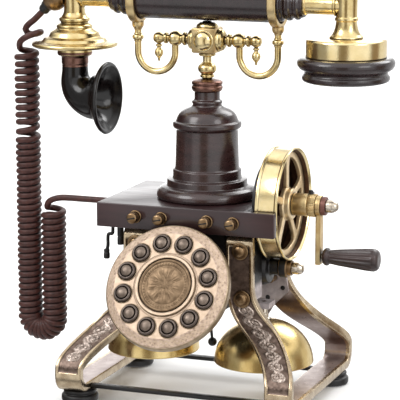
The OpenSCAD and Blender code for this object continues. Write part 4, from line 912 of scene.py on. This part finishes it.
def add_drive():
    hub = at(0, 0, HUB_Z)
    rim = [(37.1, 48.5), (38.9, 48.5), (39.4, 49), (39.4, 50.1), (38.9, 50.6), (38.5, 50.9), (38.5, 62.4),
           (38.9, 62.7), (39.4, 63.2), (39.4, 64.3), (38.9, 64.8), (38.5, 64.8), (38.1, 64.4), (37.3, 63.4)]
    # The thin umber rings in the rim's two grooves are painted shade in the grooves.
    groove_low, groove_high = ([(38.2, x), (38.56, x), (38.56, x + 0.4), (38.2, x + 0.4)] for x in (50.8, 62.1))
    lining = [(36.9, 49), (37.4, 49), (37.4, 63.4), (36.95, 63.1)]
    web = [(4, 49), (37, 49), (37, 50.5), (9.4, 50.6), (9, 51), (9, 57.4), (4, 57.4)]
    felloe = [(32.2, 57.4), (32.5, 57), (37, 57), (37, 59.9), (36.6, 60), (32.6, 60), (32.2, 59.6)]
    boss = [(4, 57), (11.4, 57), (11.8, 57.4), (11.8, 59.6), (11.2, 60), (10.9, 60.4), (10.9, 63.2), (10.5, 63.8),
            (9.9, 64), (4, 64)]
    spoke = [(2.5, 9), (2.3, 20), (2.4, 26), (3.3, 30), (4.8, 32), (7.4, 33.6), (-7.4, 33.6), (-4.8, 32), (-3.3, 30),
             (-2.4, 26), (-2.3, 20), (-2.5, 9)]
    parts = [turned(look, shape, hub @ TO_X, 180, 0.2) for look, shape in (
        ("bright", rim), ("umber", groove_low), ("umber", groove_high), ("umber", lining), ("umber", web),
        ("pink", felloe), ("pink", boss))]
    for k in range(5):
        parts.append(("pink", put(slab(spoke, 57.1, 59.9, 0.6, 3), hub @ spun(72 * k, "X") @ LAY_X)))
    make("flywheel", "crank", parts, ["drive_wheel"])

    axle = [(0, 43.3), (3.6, 43.3), (4, 43.7), (4, 84.6), (6.2, 84.6), (6.5, 85), (6.5, 87.6), (6.2, 88), (4.4, 88),
            (0, 88)]
    nut = [(0, 88), (4.3, 88), (4.5, 88.4), (4.5, 92.4), (4.2, 93.2), (3.5, 94.6), (2.6, 95.7), (1.4, 96.4), (0, 96.6)]
    make("axle", "crank",
         [turned("washer", axle, hub @ TO_X, 64, 0.2), turned("steel", nut, hub @ TO_X, 64, 0.3)],
         ["crank_shaft"])
    sleeve = [(4, 64.1), (7.5, 64.1), (7.8, 64.5), (7.8, 74.6), (7.4, 75), (7.4, 75.4), (8, 75.9), (8, 80.6), (7.6, 81),
              (4, 81)]
    knurl = lambda a, h: 1 - 0.02 * (1 + math.cos(40 * a)) * (75.7 < h < 80.8)
    eye = [(0, 81), (7, 81), (7.2, 81.4), (7.2, 84.2), (6.8, 84.6), (0, 84.6)]
    blade = [(3.6, 0), (3.9, -12), (4, -40.1), (3.7, -40.9), (2.9, -41.3), (-2.9, -41.3), (-3.7, -40.9), (-4, -40.1),
             (-3.9, -12), (-3.6, 0)]
    peg = [(0, 84), (2, 84), (2, 122), (0, 122)]
    screw = [(0, 6.4), (1.6, 6.4), (1.7, 7.6), (1.5, 10.4), (0.9, 10.7), (0, 10.7)]
    parts = [turned("satin", sleeve, hub @ TO_X, 160, 0.15, knurl),
             turned("satin", eye, hub @ TO_X, 64, 0.2),
             ("satin", put(slab(blade, 81, 84.6, 0.5, 3), hub @ LAY_X)),
             turned("steel", peg, hub @ at(0, 0, HANDLE_DROP) @ TO_X, 32),
             turned("black", screw, hub @ at(76.5, 0, 0), 24, 0.15)]
    make("crank_lever", "crank", parts, ["crank_arm"])

    grip = [(2.05, 86.3), (4.9, 86.3), (5.6, 86.9), (6.2, 88), (6.3, 89), (6, 89.8), (5.1, 90.4), (4.9, 91.2),
            (5.1, 92.4), (5.5, 95), (6, 99), (6.5, 104), (7.1, 110), (7.7, 116), (8, 120.5), (7.9, 122.6),
            (7.2, 124.4), (6, 125.6), (4.6, 126.1), (0, 126.2), (0, 123), (2.05, 122.6)]
    flutes = lambda a, h: 1 - 0.045 * (1 - math.cos(14 * a)) * (92 < h < 121.5)
    make("handle_grip", "crank_grip",
         [turned("wood", grip, hub @ at(0, 0, HANDLE_DROP) @ TO_X, 168, 0.3, flutes)], ["crank_handle"])

    low = at(0, 0, MAGNETO_Z)
    roller = [(0, 38.2), (3, 38.2), (3, 54.6), (6.6, 54.6), (7, 55), (7, 60.3), (6.6, 60.7), (5.4, 60.7), (5.4, 63.4),
              (4.4, 63.6), (0, 63.6)]
    cap = [(0, 63.6), (4.1, 63.6), (4.3, 64), (4.3, 68.4), (3.8, 69.8), (2.8, 71.2), (1.4, 72), (0, 72.2)]
    tyre = [(3.2, 55.2), (7.02, 55.2), (7.05, 60), (3.2, 60)]
    parts = [turned("bronze", roller, low @ TO_X, 72, 0.2), turned("steel", cap, low @ TO_X, 48, 0.2),
             turned("rubber", tyre, low @ TO_X, 72, 0.2)]
    make("magneto_roller", "magneto", parts, ["magneto_rotor"])
    case = [(0, 26), (13, 26), (13, 44.4), (12.4, 45.6), (11.5, 47.5), (6.4, 47.6), (5.7, 48.4), (5.6, 53.6), (5.2, 54),
            (3.05, 54), (3.05, 38), (0, 38)]
    make("magneto_body", "base", [turned("black", case, low @ TO_X, 96, 0.3)], ["magneto_case"])


# ---- the CAD nodes that stay ----


def dress_nodes():
    """Gives each CAD node that still shows its look."""
    kept = {"corner_blocks": "gusset", "case_shell": "black", "case_base": "black", "bell_bar": "grey",
            "dial_bracket": "black", "wheel_bracket": "black", "clapper": "black", "line_jack": "plastic",
            "ringer_coils": "enamel", "key_board": "board", "hook_spring": "steel", "dial_face": "cream"}
    for name, look in kept.items():
        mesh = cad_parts[name].data
        mesh.materials.clear()
        mesh.materials.append(LOOKS[look].material)


# ---- floor and light ----


def add_stage():
    size, n = 9000.0, 8
    grid = [(size * (i / n - 0.5), size * (j / n - 0.5), -0.2) for i in range(n + 1) for j in range(n + 1)]
    faces = [(i * (n + 1) + j, (i + 1) * (n + 1) + j, (i + 1) * (n + 1) + j + 1, i * (n + 1) + j + 1)
             for i in range(n) for j in range(n)]
    mesh = bpy.data.meshes.new("floor")
    mesh.from_pydata([tuple(c * MM for c in p) for p in grid], [], faces)
    look = Look("floor_paper", (0.9686, 0.9686, 0.9663), (0.9593, 0.9593, 0.9570), (0.8, 0.9), 0, 3,
                bump=0.01, specular=0.1)
    mesh.materials.append(look.material)
    floor = bpy.data.objects.new("floor", mesh)
    bpy.context.scene.collection.objects.link(floor)
    floor.visible_glossy = False


def add_light(name, place, size, power, colour=(1, 1, 1)):
    data = bpy.data.lights.new(name, "AREA")
    data.shape, data.size, data.energy, data.color = "DISK", size, power, colour
    lamp = bpy.data.objects.new(name, data)
    bpy.context.scene.collection.objects.link(lamp)
    lamp.location = place
    lamp.rotation_euler = (Vector((0, 0, 0.15)) - Vector(place)).to_track_quat("-Z", "Y").to_euler()


def add_world():
    """A studio of pale panels with darker gaps between them, which polished metal shows as bands."""
    world = bpy.data.worlds.new("studio")
    bpy.context.scene.world = world
    world.use_nodes = True
    tree = world.node_tree
    tree.nodes.clear()

    def node(kind, inputs=(), **settings):
        made = tree.nodes.new(kind)
        for key, value in settings.items():
            setattr(made, key, value)
        for i, value in enumerate(inputs):
            if isinstance(value, bpy.types.NodeSocket):
                tree.links.new(value, made.inputs[i])
            elif value is not None:
                made.inputs[i].default_value = value
        return made

    def ramp(value, stops):
        made = node("ShaderNodeValToRGB", (value,))
        while len(made.color_ramp.elements) < len(stops):
            made.color_ramp.elements.new(0.5)
        for element, (place, level) in zip(made.color_ramp.elements, stops):
            element.position = place
            element.color = (level,) * 3 + (1,) if isinstance(level, float) else level
        return made.outputs[0]

    way = node("ShaderNodeTexCoord").outputs["Generated"]
    parts = node("ShaderNodeSeparateXYZ", (way,)).outputs
    azimuth = node("ShaderNodeMath", (parts[1], parts[0]), operation="ARCTAN2").outputs[0]
    share = node("ShaderNodeMapRange", (azimuth, -math.pi, math.pi, 0.0, 1.0)).outputs[0]

    def where(degrees):
        return ((degrees + 180) % 360) / 360

    warm, dim, dusk = (0.34, 0.26, 0.18, 1), 0.42, (0.3, 0.25, 0.18, 1)
    bands = [(-180, (0.12, 0.09, 0.07, 1)), (-164, (0.12, 0.09, 0.07, 1)), (-158, dim), (-130, dim), (-123, 1.15),
             (-99, 1.2), (-94, dusk), (-70, dusk), (-65, 1.25), (-6, 1.2), (2, 0.45), (6, warm), (28, warm), (36, 1.0),
             (96, 1.0), (102, 2.3), (122, 2.3), (130, (0.12, 0.09, 0.07, 1)), (179.9, (0.12, 0.09, 0.07, 1))]
    around = ramp(share, [(where(a), level) for a, level in bands])
    lift = node("ShaderNodeMapRange", (parts[2], -1.0, 1.0, 0.0, 1.0)).outputs[0]
    heights = [(0.0, 0.8), (0.12, 0.9), (0.2, 0.3), (0.27, 0.25), (0.3, 0.9), (0.62, 0.9), (0.66, 0.35), (0.7, 0.5),
               (0.75, 1.3), (0.88, 1.5), (1.0, 1.4)]
    up_down = ramp(lift, heights)
    share_of = ramp(lift, [(0.0, 1.0), (0.24, 1.0), (0.34, 0.0), (0.6, 0.0), (0.72, 1.0), (1.0, 1.0)])
    mixed = node("ShaderNodeMix", data_type="RGBA")
    for socket, value in zip((mixed.inputs[0], mixed.inputs[6], mixed.inputs[7]), (share_of, around, up_down)):
        tree.links.new(value, socket)
    studio = node("ShaderNodeBackground", (mixed.outputs[2], 1.0)).outputs[0]
    pale = node("ShaderNodeBackground", ((1, 1, 1, 1), 1.0)).outputs[0]
    seen = node("ShaderNodeLightPath").outputs["Is Camera Ray"]
    pick = node("ShaderNodeMixShader", (seen, studio, pale)).outputs[0]
    tree.links.new(pick, node("ShaderNodeOutputWorld").inputs[0])


add_deck()
add_cradle()
add_handset()
add_loops()
add_fittings()
add_bells()
add_dial()
add_drive()
dress_nodes()
add_stage()
add_world()
add_light("key", (-1.4, -1.6, 1.9), 1.4, 26)
add_light("fill", (1.9, -0.9, 1.2), 1.2, 12)
add_light("rim", (0.6, 1.8, 1.7), 1.2, 16)
view = bpy.context.scene.view_settings
view.view_transform, view.look, view.exposure = "Standard", "None", 0.0
